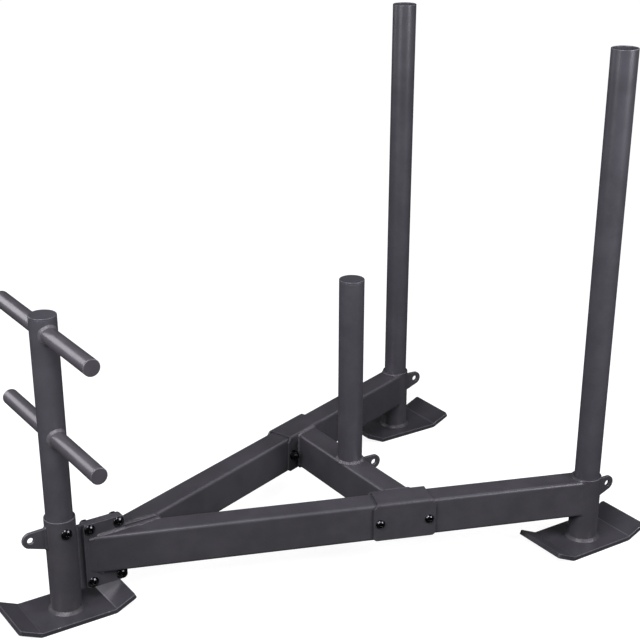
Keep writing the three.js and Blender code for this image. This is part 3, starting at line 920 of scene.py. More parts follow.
def coats(finish):
    """What coated_steel is told for each painted coat, by the slot or the beads that it is for."""
    frame = {"colour": finish.frame_colour, "roughness": finish.frame_roughness}
    bead = {"roughness": finish.weld_roughness, "relief": BEAD_RELIEF}
    # Chips at sharp edges are wear; the lighter colour there is a painted highlight
    wear_and_sheen = {"wear": finish.wear, "edge_sheen": finish.edge_sheen_share}
    return {
        "frame_paint": {**frame, **wear_and_sheen},
        "ground_paint": frame,
        "ski_paint": {
            "colour": finish.ski_colour,
            "roughness": finish.ski_roughness,
            "wear": finish.ski_wear,
            "edge_sheen": finish.edge_sheen_share,
        },
        "post_paint": {
            "colour": finish.post_colour,
            "roughness": finish.post_roughness,
            "relief": POST_RELIEF,
            **wear_and_sheen,
        },
        "handle_paint": {
            "colour": finish.handle_colour,
            "roughness": finish.handle_roughness,
            "relief": HANDLE_RELIEF,
            "wear": HANDLE_WEAR,
            "edge_sheen": finish.edge_sheen_share,
            "film": HANDLE_FILM,
        },
        # The beads carry the frame's powder coat; the weld and seam colours are lighter copies of it, a
        # painted highlight, and the foot colour a darker copy, a painted shade
        "weld_paint": {"colour": finish.weld_colour, **bead},
        "seam_paint": {"colour": finish.seam_colour, **bead},
        "foot_paint": {"colour": finish.foot_colour, **bead},
    }


def paint(slot):
    """The coat of one slot, made when it is first asked for under a name of its own."""
    name = slot + "_coat"
    material = bpy.data.materials.get(name)
    if material:
        return material
    finish = bpy.context.scene.sled_finish
    coat = coats(finish).get(slot)
    if coat:
        return coated_steel(name, finish, **coat)
    return blackened_steel(name, finish.fastener_colour, finish.fastener_roughness)


# Sizes and colours that a user would change


class SledForm(bpy.types.PropertyGroup):
    around: bpy.props.IntProperty(
        name="Round Facets", description="Facets round a tube", default=96, min=24, max=256
    )
    plate_edge: bpy.props.FloatProperty(
        name="Plate Edge", description="Rounding of cut plate edges", default=0.0009, unit="LENGTH"
    )
    ski_edge: bpy.props.FloatProperty(
        name="Ski Edge", description="Rounding of the skis' edges", default=0.0011, unit="LENGTH"
    )
    tube_lip: bpy.props.FloatProperty(
        name="Tube Lip", description="Rounding of cut tube ends", default=0.001, unit="LENGTH"
    )
    bead_leg: bpy.props.FloatProperty(
        name="Bead Leg", description="How far a weld bead reaches onto each surface", default=0.0042,
        unit="LENGTH",
    )
    bead_pitch: bpy.props.FloatProperty(
        name="Bead Pitch", description="Distance between the ripples of a bead", default=0.0032, unit="LENGTH"
    )
    bead_bulge: bpy.props.FloatProperty(
        name="Bead Bulge", description="How far a bead's face stands out", default=0.16, subtype="FACTOR"
    )
    bead_ripple: bpy.props.FloatProperty(
        name="Bead Ripple", description="Height of the ripples as a share of the bead", default=0.1,
        subtype="FACTOR",
    )
    bead_unevenness: bpy.props.FloatProperty(
        name="Bead Unevenness", description="How much a bead's size wanders", default=0.1, subtype="FACTOR"
    )


class SledFinish(bpy.types.PropertyGroup):
    frame_colour: bpy.props.FloatVectorProperty(
        name="Frame Colour", description="Powder coat of the frame", subtype="COLOR", size=3,
        default=(0.054, 0.053, 0.058), min=0, max=1,
    )
    frame_roughness: bpy.props.FloatProperty(
        name="Frame Roughness", description="Roughness of the frame's coat", default=0.38, subtype="FACTOR"
    )
    post_colour: bpy.props.FloatVectorProperty(
        name="Post Colour", description="Powder coat of the posts and poles", subtype="COLOR", size=3,
        default=(0.06, 0.059, 0.066), min=0, max=1,
    )
    post_roughness: bpy.props.FloatProperty(
        name="Post Roughness", description="Roughness of the posts' coat", default=0.3, subtype="FACTOR"
    )
    handle_colour: bpy.props.FloatVectorProperty(
        name="Handle Colour", description="Powder coat of the cross handles", subtype="COLOR", size=3,
        default=(0.068, 0.065, 0.072), min=0, max=1,
    )
    handle_roughness: bpy.props.FloatProperty(
        name="Handle Roughness", description="Roughness of the handles' coat", default=0.42, subtype="FACTOR"
    )
    coat_roughness: bpy.props.FloatProperty(
        name="Coat Roughness", description="Roughness of the clear film on the handles", default=0.2,
        subtype="FACTOR",
    )
    # Weld and seam colours are lighter than the frame's coat, a painted highlight; the foot colour is darker,
    # a painted shade
    weld_colour: bpy.props.FloatVectorProperty(
        name="Weld Colour", description="Coat over the weld beads", subtype="COLOR", size=3,
        default=(0.085, 0.083, 0.088), min=0, max=1,
    )
    seam_colour: bpy.props.FloatVectorProperty(
        name="Seam Colour", description="Coat over the flat seams between the joint plates and the rails",
        subtype="COLOR", size=3, default=(0.062, 0.061, 0.065), min=0, max=1,
    )
    foot_colour: bpy.props.FloatVectorProperty(
        name="Foot Bead Colour", description="Coat over the beads at the sleeves' feet and the tow ears",
        subtype="COLOR", size=3, default=(0.044, 0.043, 0.046), min=0, max=1,
    )
    weld_roughness: bpy.props.FloatProperty(
        name="Weld Roughness", description="Roughness of the coat over the beads", default=0.44,
        subtype="FACTOR",
    )
    fastener_colour: bpy.props.FloatVectorProperty(
        name="Fastener Colour", description="Black oxide of bolts and nuts", subtype="COLOR", size=3,
        default=(0.05, 0.05, 0.053), min=0, max=1,
    )
    fastener_roughness: bpy.props.FloatProperty(
        name="Fastener Roughness", description="Roughness of the black oxide", default=0.18, subtype="FACTOR"
    )
    bare_steel: bpy.props.FloatVectorProperty(
        name="Bare Steel", description="Steel that shows where the coat is chipped", subtype="COLOR", size=3,
        default=(0.3, 0.295, 0.3), min=0, max=1,
    )
    wear: bpy.props.FloatProperty(
        name="Wear", description="How much of the coat is chipped at the edges", default=0.25,
        subtype="FACTOR",
    )
    ski_colour: bpy.props.FloatVectorProperty(
        name="Ski Colour", description="Powder coat of the skis", subtype="COLOR", size=3,
        default=(0.045, 0.044, 0.049), min=0, max=1,
    )
    ski_roughness: bpy.props.FloatProperty(
        name="Ski Roughness", description="Roughness of the skis' coat", default=0.34, subtype="FACTOR"
    )
    ski_wear: bpy.props.FloatProperty(
        name="Ski Wear", description="How much of the skis' coat is chipped at the edges", default=0.62,
        subtype="FACTOR",
    )
    # Painted highlight: how much lighter sharp edges are painted
    edge_sheen_share: bpy.props.FloatProperty(
        name="Edge Sheen", description="How light the coat is rubbed at the edges", default=0.47,
        subtype="FACTOR",
    )


class SledStage(bpy.types.PropertyGroup):
    floor_colour: bpy.props.FloatVectorProperty(
        name="Floor Colour", description="Colour of the studio floor", subtype="COLOR", size=3,
        default=(0.3, 0.3, 0.3), min=0, max=1,
    )
    floor_glow: bpy.props.FloatProperty(
        name="Floor Glow", description="Light of the floor near the sled, which keeps shadows faint",
        default=0.91,
    )
    glow_radius: bpy.props.FloatProperty(
        name="Glow Radius", description="Where the floor's glow has risen to full white", default=3.0,
        unit="LENGTH",
    )
    wall_light: bpy.props.FloatProperty(
        name="Wall Light", description="Dim light that the walls send back from every side", default=0.03
    )
    light_colour: bpy.props.FloatVectorProperty(
        name="Light Colour", description="Colour of the soft boxes", subtype="COLOR", size=3,
        default=(1.0, 0.97, 1.05), min=0, max=2,
    )
    box_distance: bpy.props.FloatProperty(
        name="Box Distance", description="From the sled's middle to each soft box", default=2.2, unit="LENGTH"
    )
    box_width: bpy.props.FloatProperty(
        name="Box Width", description="Width and height of each soft box", default=1.0, unit="LENGTH"
    )
    top_power: bpy.props.FloatProperty(
        name="Top Box", description="Soft box high above the camera", default=43.5, unit="POWER"
    )
    left_power: bpy.props.FloatProperty(
        name="Left Box", description="Soft box on the camera's left", default=27.0, unit="POWER"
    )
    right_power: bpy.props.FloatProperty(
        name="Right Box", description="Soft box on the camera's right", default=34.0, unit="POWER"
    )
    far_left_power: bpy.props.FloatProperty(
        name="Far Left Box", description="Soft box behind the sled on the left", default=11.0, unit="POWER"
    )
    far_right_power: bpy.props.FloatProperty(
        name="Far Right Box", description="Soft box behind the sled on the right", default=8.0, unit="POWER"
    )
    lens: bpy.props.FloatProperty(
        name="Lens", description="Focal length of the camera on a 36 mm sensor", default=77.17, unit="CAMERA"
    )
    camera_place: bpy.props.FloatVectorProperty(
        name="Camera Place", description="Where the camera stands", subtype="TRANSLATION", size=3,
        default=(2.0216, -1.2682, 1.3678),
    )
    camera_azimuth: bpy.props.FloatProperty(
        name="Camera Azimuth", description="Turn of the view from +Y towards -X", subtype="ANGLE",
        default=math.radians(57.302),
    )
    camera_elevation: bpy.props.FloatProperty(
        name="Camera Elevation", description="Tilt of the view below the horizon", subtype="ANGLE",
        default=math.radians(23.742),
    )
    camera_roll: bpy.props.FloatProperty(
        name="Camera Roll", description="Turn of the camera about its line of sight", subtype="ANGLE",
        default=math.radians(-0.191),
    )
    shift_right: bpy.props.FloatProperty(
        name="Shift Right", description="Sideways lens shift, as a share of the picture", default=0.0257
    )
    shift_up: bpy.props.FloatProperty(
        name="Shift Up", description="Upward lens shift, as a share of the picture", default=0.1127
    )


# Skis


def ski_plate(form):
    """Ski: its underside runs up a ramp, round a bend, flat along the floor and up again, 9 mm thick."""
    outer = SKI_BEND_RADIUS + SKI_THICKNESS
    straight_half = SKI_FLAT_HALF - outer * math.tan(SKI_RAMP_ANGLE / 2)
    turn = np.linspace(0, SKI_RAMP_ANGLE, 9)
    bend = np.stack([straight_half + outer * np.sin(turn), outer * (1 - np.cos(turn))], -1)
    bend_normals = np.stack([-np.sin(turn), np.cos(turn)], -1)
    ramp_end = [SKI_LENGTH / 2, SKI_RAMP_LENGTH * math.sin(SKI_RAMP_ANGLE)]
    half = np.concatenate([bend, [ramp_end]])
    half_normals = np.concatenate([bend_normals, bend_normals[-1:]])
    flip = np.array([-1, 1])
    path = np.concatenate([(half * flip)[::-1], half])
    normals = np.concatenate([(half_normals * flip)[::-1], half_normals])
    length = np.concatenate([[0], np.cumsum(np.linalg.norm(np.diff(path, axis=0), axis=1))])
    bends = length[[1, 9, 10, 18]]
    # Stations beside each bend carry the painted highlight line
    beside = (bends[:, None] + BEND_SHEEN_HALF * np.array([-2, -1, 1, 2])).ravel()
    ends = end_stations(length[-1], form.ski_edge, SKI_CORNER_RADIUS)
    stations = np.unique(np.concatenate([length, beside, ends]).round(7))
    width = corner_width(stations, length[-1], SKI_WIDTH / 2, SKI_CORNER_RADIUS)
    plate = bent_plate(path, normals, stations, width, SKI_THICKNESS, form.ski_edge)
    return moved(plate, Z_TO_RIGHT)


class SLED_OT_skis(bpy.types.Operator):
    """Builds the front ski and the two rear skis: plates with both ends bent up"""

    bl_idname = "sled.skis"
    bl_label = "Skis"

    def execute(self, context):
        plate = ski_plate(context.scene.sled_form)
        # Painted highlight along the inner line of each bend, on the upper face, as a share from 0 to 1
        from_bend = np.abs(np.abs(plate[0][:, 1]) - SKI_FLAT_HALF)
        upper = plate[0][:, 2] > SKI_THICKNESS / 2
        bend_sheen = np.clip(BEND_SHEEN_PEAK - from_bend / BEND_SHEEN_FADE, 0, 1) * upper
        for node in ("front_ski", "rear_ski_left", "rear_ski_right"):
            x, y, _ = middle(node)
            ski = dress(node, [moved(plate, None, (x, y, 0))], paint("ski_paint"))
            store_bend_sheen(ski, bend_sheen)
        return {"FINISHED"}


# Sleeves, posts and poles


def upright_tube(node, radius, wall, lip, form):
    """Round pipe as tall as the node and in its place, with its lips rounded by `lip`."""
    x, y, _ = middle(node)
    tube = pipe(radius, wall, lowest(node)[2], highest(node)[2], lip, form.around)
    return moved(tube, None, (x, y, 0))


class SLED_OT_sleeves(bpy.types.Operator):
    """Builds the three socket tubes that stand on the skis"""

    bl_idname = "sled.sleeves"
    bl_label = "Sleeves"

    def execute(self, context):
        form = context.scene.sled_form
        for node in ("front_sleeve", "rear_sleeve_left", "rear_sleeve_right"):
            dress(node, [upright_tube(node, SLEEVE_RADIUS, SLEEVE_WALL, form.tube_lip, form)])
        return {"FINISHED"}


class SLED_OT_posts(bpy.types.Operator):
    """Builds the front post and the plate post, each a tube with a welded cap"""

    bl_idname = "sled.posts"
    bl_label = "Posts"

    def execute(self, context):
        form = context.scene.sled_form
        for node in ("front_post", "weight_post"):
            dress(node, [upright_tube(node, POST_RADIUS, POST_WALL, form.tube_lip * CAPPED_LIP_SHARE, form)])
            x, y, _ = middle(node)
            cap = round_cap(POST_RADIUS, CAP_THICKNESS, CAP_ROUNDING, form.around)
            dress(node + "_cap", [moved(cap, None, (x, y, lowest(node + "_cap")[2]))])
        return {"FINISHED"}


class SLED_OT_push_poles(bpy.types.Operator):
    """Builds the two push poles, open tubes that lift out of the rear sleeves"""

    bl_idname = "sled.push_poles"
    bl_label = "Push Poles"

    def execute(self, context):
        form = context.scene.sled_form
        for node in ("push_pole_left", "push_pole_right"):
            dress(node, [upright_tube(node, POST_RADIUS, POST_WALL, form.tube_lip, form)])
        return {"FINISHED"}


class SLED_OT_handles(bpy.types.Operator):
    """Builds the two cross handles with their end caps"""

    bl_idname = "sled.handles"
    bl_label = "Cross Handles"

    def execute(self, context):
        form = context.scene.sled_form
        lip = form.tube_lip * CAPPED_LIP_SHARE
        cap = round_cap(HANDLE_RADIUS, HANDLE_CAP_THICKNESS, CAP_ROUNDING, form.around)
        for which in ("upper", "lower"):
            bar = which + "_handle_bar"
            half = span(bar)[0] / 2
            tube = pipe(HANDLE_RADIUS, POST_WALL, -half, half, lip, form.around)
            right = moved(cap, Z_TO_RIGHT, (half, 0, 0))
            dress(bar, [moved(tube, Z_TO_RIGHT, middle(bar))])
            dress(which + "_handle_cap_right", [moved(right, None, middle(bar))])
            dress(which + "_handle_cap_left", [moved(mirrored(right), None, middle(bar))])
        return {"FINISHED"}


# Joint plates, rails, saddles and crossmember


def joint_outline(front, front_corner, tongue_half):
    """Outline in (y, z) of a joint plate: a tall bolted head, and a tongue between the rails behind it."""
    head = FLANGE_HEIGHT / 2
    corners = [
        [front, -head],
        [FLANGE_REAR, -head],
        [FLANGE_REAR, -tongue_half],
        [TONGUE_END, -tongue_half],
        [TONGUE_END, tongue_half],
        [FLANGE_REAR, tongue_half],
        [FLANGE_REAR, head],
        [front, head],
    ]
    tongue = [JOINT_CORNER] * 4
    radius = [front_corner, FLANGE_CORNER, *tongue, FLANGE_CORNER, front_corner]
    return rounded_outline(corners, radius, 8) + [0, TUBE_MIDDLE]


class SLED_OT_joint_plates(bpy.types.Operator):
    """Builds the web plate on the front sleeve and the flange plate on each rail"""

    bl_idname = "sled.joint_plates"
    bl_label = "Joint Plates"

    def execute(self, context):
        form = context.scene.sled_form
        web_front = FRONT_POST[1] + SLEEVE_RADIUS
        web = joint_outline(web_front, JOINT_CORNER, TUBE_HEIGHT / 2 - WEB_DROP)
        dress("front_web_plate", [flat_plate(web, WEB_THICKNESS, form.plate_edge)])
        outline = joint_outline(FLANGE_FRONT, FLANGE_CORNER, TUBE_HEIGHT / 2)
        flange = flat_plate(outline, FLANGE_THICKNESS, form.plate_edge)
        for node in ("flange_plate_left", "flange_plate_right"):
            dress(node, [moved(flange, None, (middle(node)[0], 0, 0))])
        return {"FINISHED"}


class SLED_OT_rails(bpy.types.Operator):
    """Builds the two side rails, cut to a mitre in front and to the round sleeves behind"""

    bl_idname = "sled.rails"
    bl_label = "Side Rails"

    def execute(self, context):
        rail = on_rail(square_tube(mitre_cut, sleeve_cut))
        dress("side_rail_right", [rail])
        dress("side_rail_left", [mirrored(rail)])
        return {"FINISHED"}


def saddle_plate(form):
    """Saddle: a plate bent up one side of the rail, over it and down the other, and longer at its legs."""
    inside = TUBE_WIDTH / 2 + FIT_GAP
    low = SADDLE_LEG_RISE - TUBE_HEIGHT / 2
    roof = TUBE_HEIGHT / 2 + FIT_GAP
    path = rounded_path([[inside, low], [inside, roof], [-inside, roof], [-inside, low]], TUBE_CORNER / 2, 10)
    along = unit(np.gradient(path, axis=0))
    normals = np.stack([along[:, 1], -along[:, 0]], -1)
    normals[0], normals[-1] = [1, 0], [-1, 0]
    length = np.concatenate([[0], np.cumsum(np.linalg.norm(np.diff(path, axis=0), axis=1))])
    total = length[-1]
    shoulder_low = roof - SADDLE_SHOULDER - low
    shoulder_high = shoulder_low + SADDLE_SHOULDER
    ends = end_stations(total, form.plate_edge, SADDLE_CORNER)
    shoulders = np.linspace(shoulder_low, shoulder_high, 5)
    stations = np.unique(np.concatenate([length, ends, shoulders, total - shoulders]).round(7))
    width = corner_width(stations, total, SADDLE_LEG_LENGTH / 2, SADDLE_CORNER)
    from_end = np.minimum(stations, total - stations)
    drawn_in = np.interp(from_end, [shoulder_low, shoulder_high], [0, SADDLE_TOP_INSET])
    plate = bent_plate(path, normals, stations, width - drawn_in, SADDLE_THICKNESS, form.plate_edge)
    return moved(plate, [[1, 0, 0], [0, 0, 1], [0, 1, 0]])


class SLED_OT_saddles(bpy.types.Operator):
    """Builds the two bent saddles that sit over the rails"""

    bl_idname = "sled.saddles"
    bl_label = "Saddles"

    def execute(self, context):
        right = on_rail(saddle_plate(context.scene.sled_form), SADDLE_STATION)
        dress("saddle_right", [right], paint("ground_paint"))
        dress("saddle_left", [mirrored(right)], paint("ground_paint"))
        return {"FINISHED"}


def crossmember_half(y):
    """Half the crossmember's length at the place y across it, where the saddles' faces cut it off."""
    reach = (CROSSMEMBER_Y + y - RAIL_MEET[1]) * math.tan(RAIL_ANGLE)
    return reach - (SADDLE_SIDE + FIT_GAP) / math.cos(RAIL_ANGLE)


class SLED_OT_crossmember(bpy.types.Operator):
    """Builds the crossmember between the saddles"""

    bl_idname = "sled.crossmember"
    bl_label = "Crossmember"

    def execute(self, context):
        along_y = square_tube(lambda x: -crossmember_half(-x), lambda x: crossmember_half(-x))
        across = moved(along_y, [[0, 1, 0], [-1, 0, 0], [0, 0, 1]], (0, CROSSMEMBER_Y, TUBE_MIDDLE))
        dress("crossmember", [across])
        return {"FINISHED"}


# Tow ears


def tip_touch(height, reach):
    """Where a straight side touches the tip's circle, as an angle about the hole, from `height` off it."""
    return math.pi - math.atan2(height, reach) - math.acos(EAR_TIP_RADIUS / math.hypot(height, reach))


def ear_plate(form, reach):
    """Tow ear: a tongue along +Y with a round tip and a hole, as rings from its outline to its hole and back.

    Straight sides run from the base's ends and touch the tip's circle. Each outline point has a point of the
    hole at the same angle about the hole's centre, which lies at y = reach and z = 0.
    """
    turn = np.linspace(-tip_touch(-EAR_BASE_LOW, reach), tip_touch(EAR_BASE_TOP, reach), 41)
    tip = np.stack([reach + EAR_TIP_RADIUS * np.cos(turn), EAR_TIP_RADIUS * np.sin(turn)], -1)
    outline = np.concatenate([[[-EAR_SUNK, EAR_BASE_LOW]], tip, [[-EAR_SUNK, EAR_BASE_TOP]]])
    outline = points_at(outline, fine_places(outline, SECTION_STEP))
    inwards = inset_directions(outline)
    hole = unit(outline - [reach, 0])
    inset, across = plate_edges(form.plate_edge, EAR_THICKNESS)
    outer = outline[None] + inset[:, None, None] * inwards[None]
    inner = [reach, 0] + (EAR_HOLE_RADIUS + inset[::-1, None, None]) * hole[None]
    rings = np.concatenate([outer, inner])
    x = np.concatenate([across, across[::-1]])[:, None, None]
    return skin(np.concatenate([np.broadcast_to(x, rings[..., :1].shape), rings], -1), "loop")


def ear_places():
    """Seat at the height of the hole, direction and reach of each tow ear."""
    seats = {
        "front_tow_ear": (middle("front_post"), -1, SLEEVE_RADIUS),
        "rear_tow_ear_left": (middle("push_pole_left"), 1, SLEEVE_RADIUS),
        "rear_tow_ear_right": (middle("push_pole_right"), 1, SLEEVE_RADIUS),
        "centre_tow_ear": (middle("crossmember"), 1, TUBE_WIDTH / 2),
    }
    places = {}
    for node, (carrier, facing, depth) in seats.items():
        seat = np.array([carrier[0], carrier[1] + facing * depth, highest(node)[2] - EAR_BASE_TOP])
        end = highest(node)[1] if facing > 0 else lowest(node)[1]
        places[node] = (seat, facing, abs(end - seat[1]) - EAR_TIP_RADIUS)
    return places


class SLED_OT_tow_ears(bpy.types.Operator):
    """Builds the four tow ears"""

    bl_idname = "sled.tow_ears"
    bl_label = "Tow Ears"

    def execute(self, context):
        for node, (place, facing, reach) in ear_places().items():
            plate = ear_plate(context.scene.sled_form, reach)
            dress(node, [moved(plate, np.diag([1, facing, 1]), place)])
        return {"FINISHED"}


# Fasteners, drawn about Z with the head up and then turned to lie along X


def hexagon_radius(turn, width):
    """Distance from the middle to the side of a hexagon of that width, in the direction `turn`."""
    return width / 2 / np.cos((turn % (math.pi / 3)) - math.pi / 6)


def stacked_rings(radius, height, turn):
    """Rings (r cos t, r sin t, z), with one radius for each ring, or one for each ring and direction."""
    radius = radius[:, None] if radius.ndim == 1 else radius
    radius, height, turn = np.broadcast_arrays(radius, height[:, None], turn)
    return np.stack([radius * np.cos(turn), radius * np.sin(turn), height], -1)


def around_fastener():
    return np.linspace(0, FULL_TURN, FASTENER_AROUND, endpoint=False)


def bolt_shank(length):
    """Threaded shank that hangs from z = 0: the thread's depth follows a triangle wave round a helix."""
    turn = around_fastener()
    from_end = np.linspace(0, THREAD_LENGTH, 41)[:, None]
    thread = 1 - np.abs(2 * ((from_end / THREAD_PITCH - turn / FULL_TURN) % 1) - 1)
    run_out = np.clip((THREAD_LENGTH - from_end) / THREAD_PITCH, 0, 1)
    point = BOLT_RADIUS * THREAD_POINT_SHARE + from_end
    radius = np.minimum(BOLT_RADIUS - THREAD_DEPTH * thread * run_out, point)
    return stacked_rings(radius, from_end[:, 0] - length, turn)


def bolt_head(radius):
    """Button head on z = 0: a sphere's cap from the lip's top edge to the flat round the socket.

    The sphere's centre lies on the axis at the height c where r^2 + (lip - c)^2 = flat^2 + (top - c)^2.
    """
    difference = radius**2 - BOLT_HEAD_FLAT**2 + BOLT_HEAD_LIP**2 - BOLT_HEAD_HEIGHT**2
    centre = difference / (2 * (BOLT_HEAD_LIP - BOLT_HEAD_HEIGHT))
    dome = math.hypot(radius, BOLT_HEAD_LIP - centre)
    lowest_angle = math.asin((BOLT_HEAD_LIP - centre) / dome)
    angle = np.linspace(lowest_angle, math.asin((BOLT_HEAD_HEIGHT - centre) / dome), 13)
    rim = [BOLT_RADIUS, radius - HEAD_ROUNDING, radius]
    rings = np.concatenate([rim, dome * np.cos(angle)])
    height = np.concatenate([[0, 0, HEAD_ROUNDING], centre + dome * np.sin(angle)])
    return stacked_rings(rings, height, around_fastener())


def bolt_socket():
    """Six-sided socket with a coned rim, and the point that closes its floor."""
    turn = around_fastener()
    depth = np.concatenate([np.linspace(0, SOCKET_CHAMFER, 8), [SOCKET_DEPTH]])
    cone = (SOCKET_WIDTH / 2 + SOCKET_CHAMFER - depth)[:, None]
    radius = np.minimum(hexagon_radius(turn, SOCKET_WIDTH), cone)
    radius[-1] = hexagon_radius(turn, SOCKET_WIDTH)
    tip_height = BOLT_HEAD_HEIGHT - SOCKET_DEPTH - SOCKET_CONE
    tip = stacked_rings(np.array([SOCKET_TIP_RADIUS]), np.array([tip_height]), turn)
    return np.concatenate([stacked_rings(radius, BOLT_HEAD_HEIGHT - depth, turn), tip])


def bolt(length, head_radius):
    """Button-head bolt: threaded end, shank, domed head and a six-sided socket."""
    return skin(np.concatenate([bolt_shank(length), bolt_head(head_radius), bolt_socket()]), "lids")


def lock_nut():
    """Lock nut on z = 0: a hexagon with coned ends, a round collar above it, and a bore."""
    turn = around_fastener()
    cone = np.linspace(0, NUT_CHAMFER, 5)
    rise = (NUT_WIDTH / math.sqrt(3) - NUT_WIDTH / 2) / NUT_CHAMFER
    foot = np.minimum(hexagon_radius(turn, NUT_WIDTH), (NUT_WIDTH / 2 + cone * rise)[:, None])
    coned_heights = np.concatenate([cone, NUT_HEIGHT - cone[::-1]])
    body = stacked_rings(np.concatenate([foot, foot[::-1]]), coned_heights, turn)

    bore = BOLT_RADIUS + THREAD_PLAY
    top = NUT_HEIGHT + NUT_COLLAR_HEIGHT
    bend = np.linspace(0, QUARTER_TURN, 5)
    collar_radius = NUT_COLLAR_RADIUS - COLLAR_ROUNDING * (1 - np.cos(bend))
    collar_height = top - COLLAR_ROUNDING * (1 - np.sin(bend))
    foot_radius = [NUT_COLLAR_RADIUS + COLLAR_FOOT, NUT_COLLAR_RADIUS]
    foot_height = [NUT_HEIGHT, NUT_HEIGHT + COLLAR_FOOT]
    bore_radius = [bore + BORE_LIP_WIDTH, bore, bore, bore + BORE_ENTRY]
    bore_height = [top, top - BORE_LIP_DEPTH, BORE_ENTRY, 0]
    radius = np.concatenate([foot_radius, collar_radius, bore_radius])
    height = np.concatenate([foot_height, collar_height, bore_height])
    return skin(np.concatenate([body, stacked_rings(radius, height, turn)]), "loop")


def washer():
    """Washer on z = 0, with softly rounded edges."""
    inner = BOLT_RADIUS + THREAD_PLAY
    corners = [[WASHER_RADIUS, 0], [WASHER_RADIUS, WASHER_THICKNESS], [inner, WASHER_THICKNESS], [inner, 0]]
    return turned_surface(rounded_outline(corners, WASHER_ROUNDING, 3), FASTENER_AROUND, "loop")


def fastener_set(grip, head_radius):
    """Bolt with its head against x = grip / 2, and the washer and nut against x = -grip / 2."""
    length = grip + WASHER_THICKNESS + NUT_HEIGHT + NUT_COLLAR_HEIGHT + BOLT_END_PAST_NUT
    return {
        "bolt": moved(bolt(length, head_radius), Z_TO_RIGHT, (grip / 2, 0, 0)),
        "washer": moved(washer(), Z_TO_LEFT, (-grip / 2, 0, 0)),
        "nut": moved(lock_nut(), Z_TO_LEFT, (-grip / 2 - WASHER_THICKNESS, 0, 0)),
    }


class SLED_OT_fasteners(bpy.types.Operator):
    """Builds the button-head bolts with their washers and lock nuts"""

    bl_idname = "sled.fasteners"
    bl_label = "Bolts, Washers and Nuts"

    def execute(self, context):
        through_stack = fastener_set(2 * STACK_HALF, JOINT_HEAD_RADIUS)
        for number in range(1, 5):
            _, y, z = middle(f"flange_{number}_washer")
            for kind, shell in through_stack.items():
                dress(f"flange_{number}_{kind}", [moved(shell, None, (0, y, z))])
        _, y, z = middle("front_post_washer")
        for kind, shell in fastener_set(2 * SLEEVE_RADIUS, JOINT_HEAD_RADIUS).items():
            dress(f"front_post_{kind}", [moved(shell, None, (0, y, z))])
        through_rail = fastener_set(2 * SADDLE_SIDE, SADDLE_HEAD_RADIUS)
        for end, share in (("front", -1), ("rear", 1)):
            for kind, shell in through_rail.items():
                right = on_rail(shell, SADDLE_STATION + share * SADDLE_BOLT_OFFSET)
                dress(f"saddle_right_{end}_{kind}", [right])
                dress(f"saddle_left_{end}_{kind}", [mirrored(right)])
        return {"FINISHED"}


# Weld seams


def both_sides(shells):
    return shells + [mirrored(shell) for shell in shells]


def foot_beads(form):
    """Rings where the sleeves stand on their skis, and where the plate post stands on the crossmember."""
    beads = {}
    leg = form.bead_leg * SLEEVE_FOOT_LEG
    for number, node in enumerate(("front_sleeve", "rear_sleeve_left", "rear_sleeve_right")):
        x, y, _ = middle(node)
        ring = ring_bead((x, y, SKI_THICKNESS), SLEEVE_RADIUS, leg, form, seed=10 + number, relief=0.25)
        beads[node + "_foot_bead"] = [ring]
    x, y, _ = middle("weight_post")
    leg = form.bead_leg * POST_FOOT_LEG
    ring = ring_bead((x, y, TUBE_TOP), POST_RADIUS, leg, form, seed=20, relief=2.4)
    beads["weight_post_foot_bead"] = [ring]
    return beads


def handle_beads(form):
    """Rings where each handle enters the front post, along the line where the two cylinders meet.

    With t round the handle, the line is (sqrt(R^2 - (r sin t)^2), r sin t, r cos t).
    """
    turn = np.linspace(0, FULL_TURN, 120, endpoint=False)
    y, z = HANDLE_RADIUS * np.sin(turn), HANDLE_RADIUS * np.cos(turn)
    x = np.sqrt(POST_RADIUS**2 - y**2)
    path = np.stack([x, y, z], -1)
    on_post = np.stack([x, y, 0 * x], -1) / POST_RADIUS
    on_handle = np.stack([0 * x, y, z], -1) / HANDLE_RADIUS
    leg = form.bead_leg * RAISED_LEG
    beads = {}
    for number, which in enumerate(("upper", "lower")):
        ring = weld_bead(path, on_post, on_handle, True, leg, form, seed=30 + number, relief=0.5)
        offset = (0, FRONT_POST[1], middle(which + "_handle_bar")[2])
        beads[which + "_handle_beads"] = [moved(shell, None, offset) for shell in both_sides([ring])]
    return beads


def ear_beads(form):
    """Rings round the base of each tow ear, on its round sleeve or on the flat crossmember."""
    base = rounded_outline(rectangle(EAR_THICKNESS / 2, (EAR_BASE_TOP - EAR_BASE_LOW) / 2), EAR_BASE_CORNER)
    base = base + [0, (EAR_BASE_TOP + EAR_BASE_LOW) / 2]
    base = points_at(base, fine_places(base, BEAD_STEP))
    across, up = base.T
    out = outline_normals(base)
    around_ear = np.stack([out[:, 0], 0 * across, out[:, 1]], -1)
    leg = form.bead_leg * EAR_LEG
    beads = {}
    for number, (node, (place, facing, _)) in enumerate(ear_places().items()):
        if node == "centre_tow_ear":
            depth = 0 * across
            carrier = everywhere((0, 1, 0), around_ear)
        else:
            depth = np.sqrt(SLEEVE_RADIUS**2 - across**2) - SLEEVE_RADIUS
            carrier = np.stack([across, depth + SLEEVE_RADIUS, 0 * depth], -1) / SLEEVE_RADIUS
        path = np.stack([across, depth, up], -1)
        ring = weld_bead(path, carrier, around_ear, True, leg, form, seed=40 + number, relief=0.5)
        beads[node + "_bead"] = [moved(ring, np.diag([1, facing, 1]), place)]
    return beads


def tube_section():
    """The rectangular tube's outline in fine steps, as places across and up, and its outward normals."""
    section = rounded_outline(rectangle(TUBE_WIDTH / 2, TUBE_HEIGHT / 2), TUBE_CORNER)
    section = points_at(section, fine_places(section, BEAD_STEP))
    return *section.T, outline_normals(section)


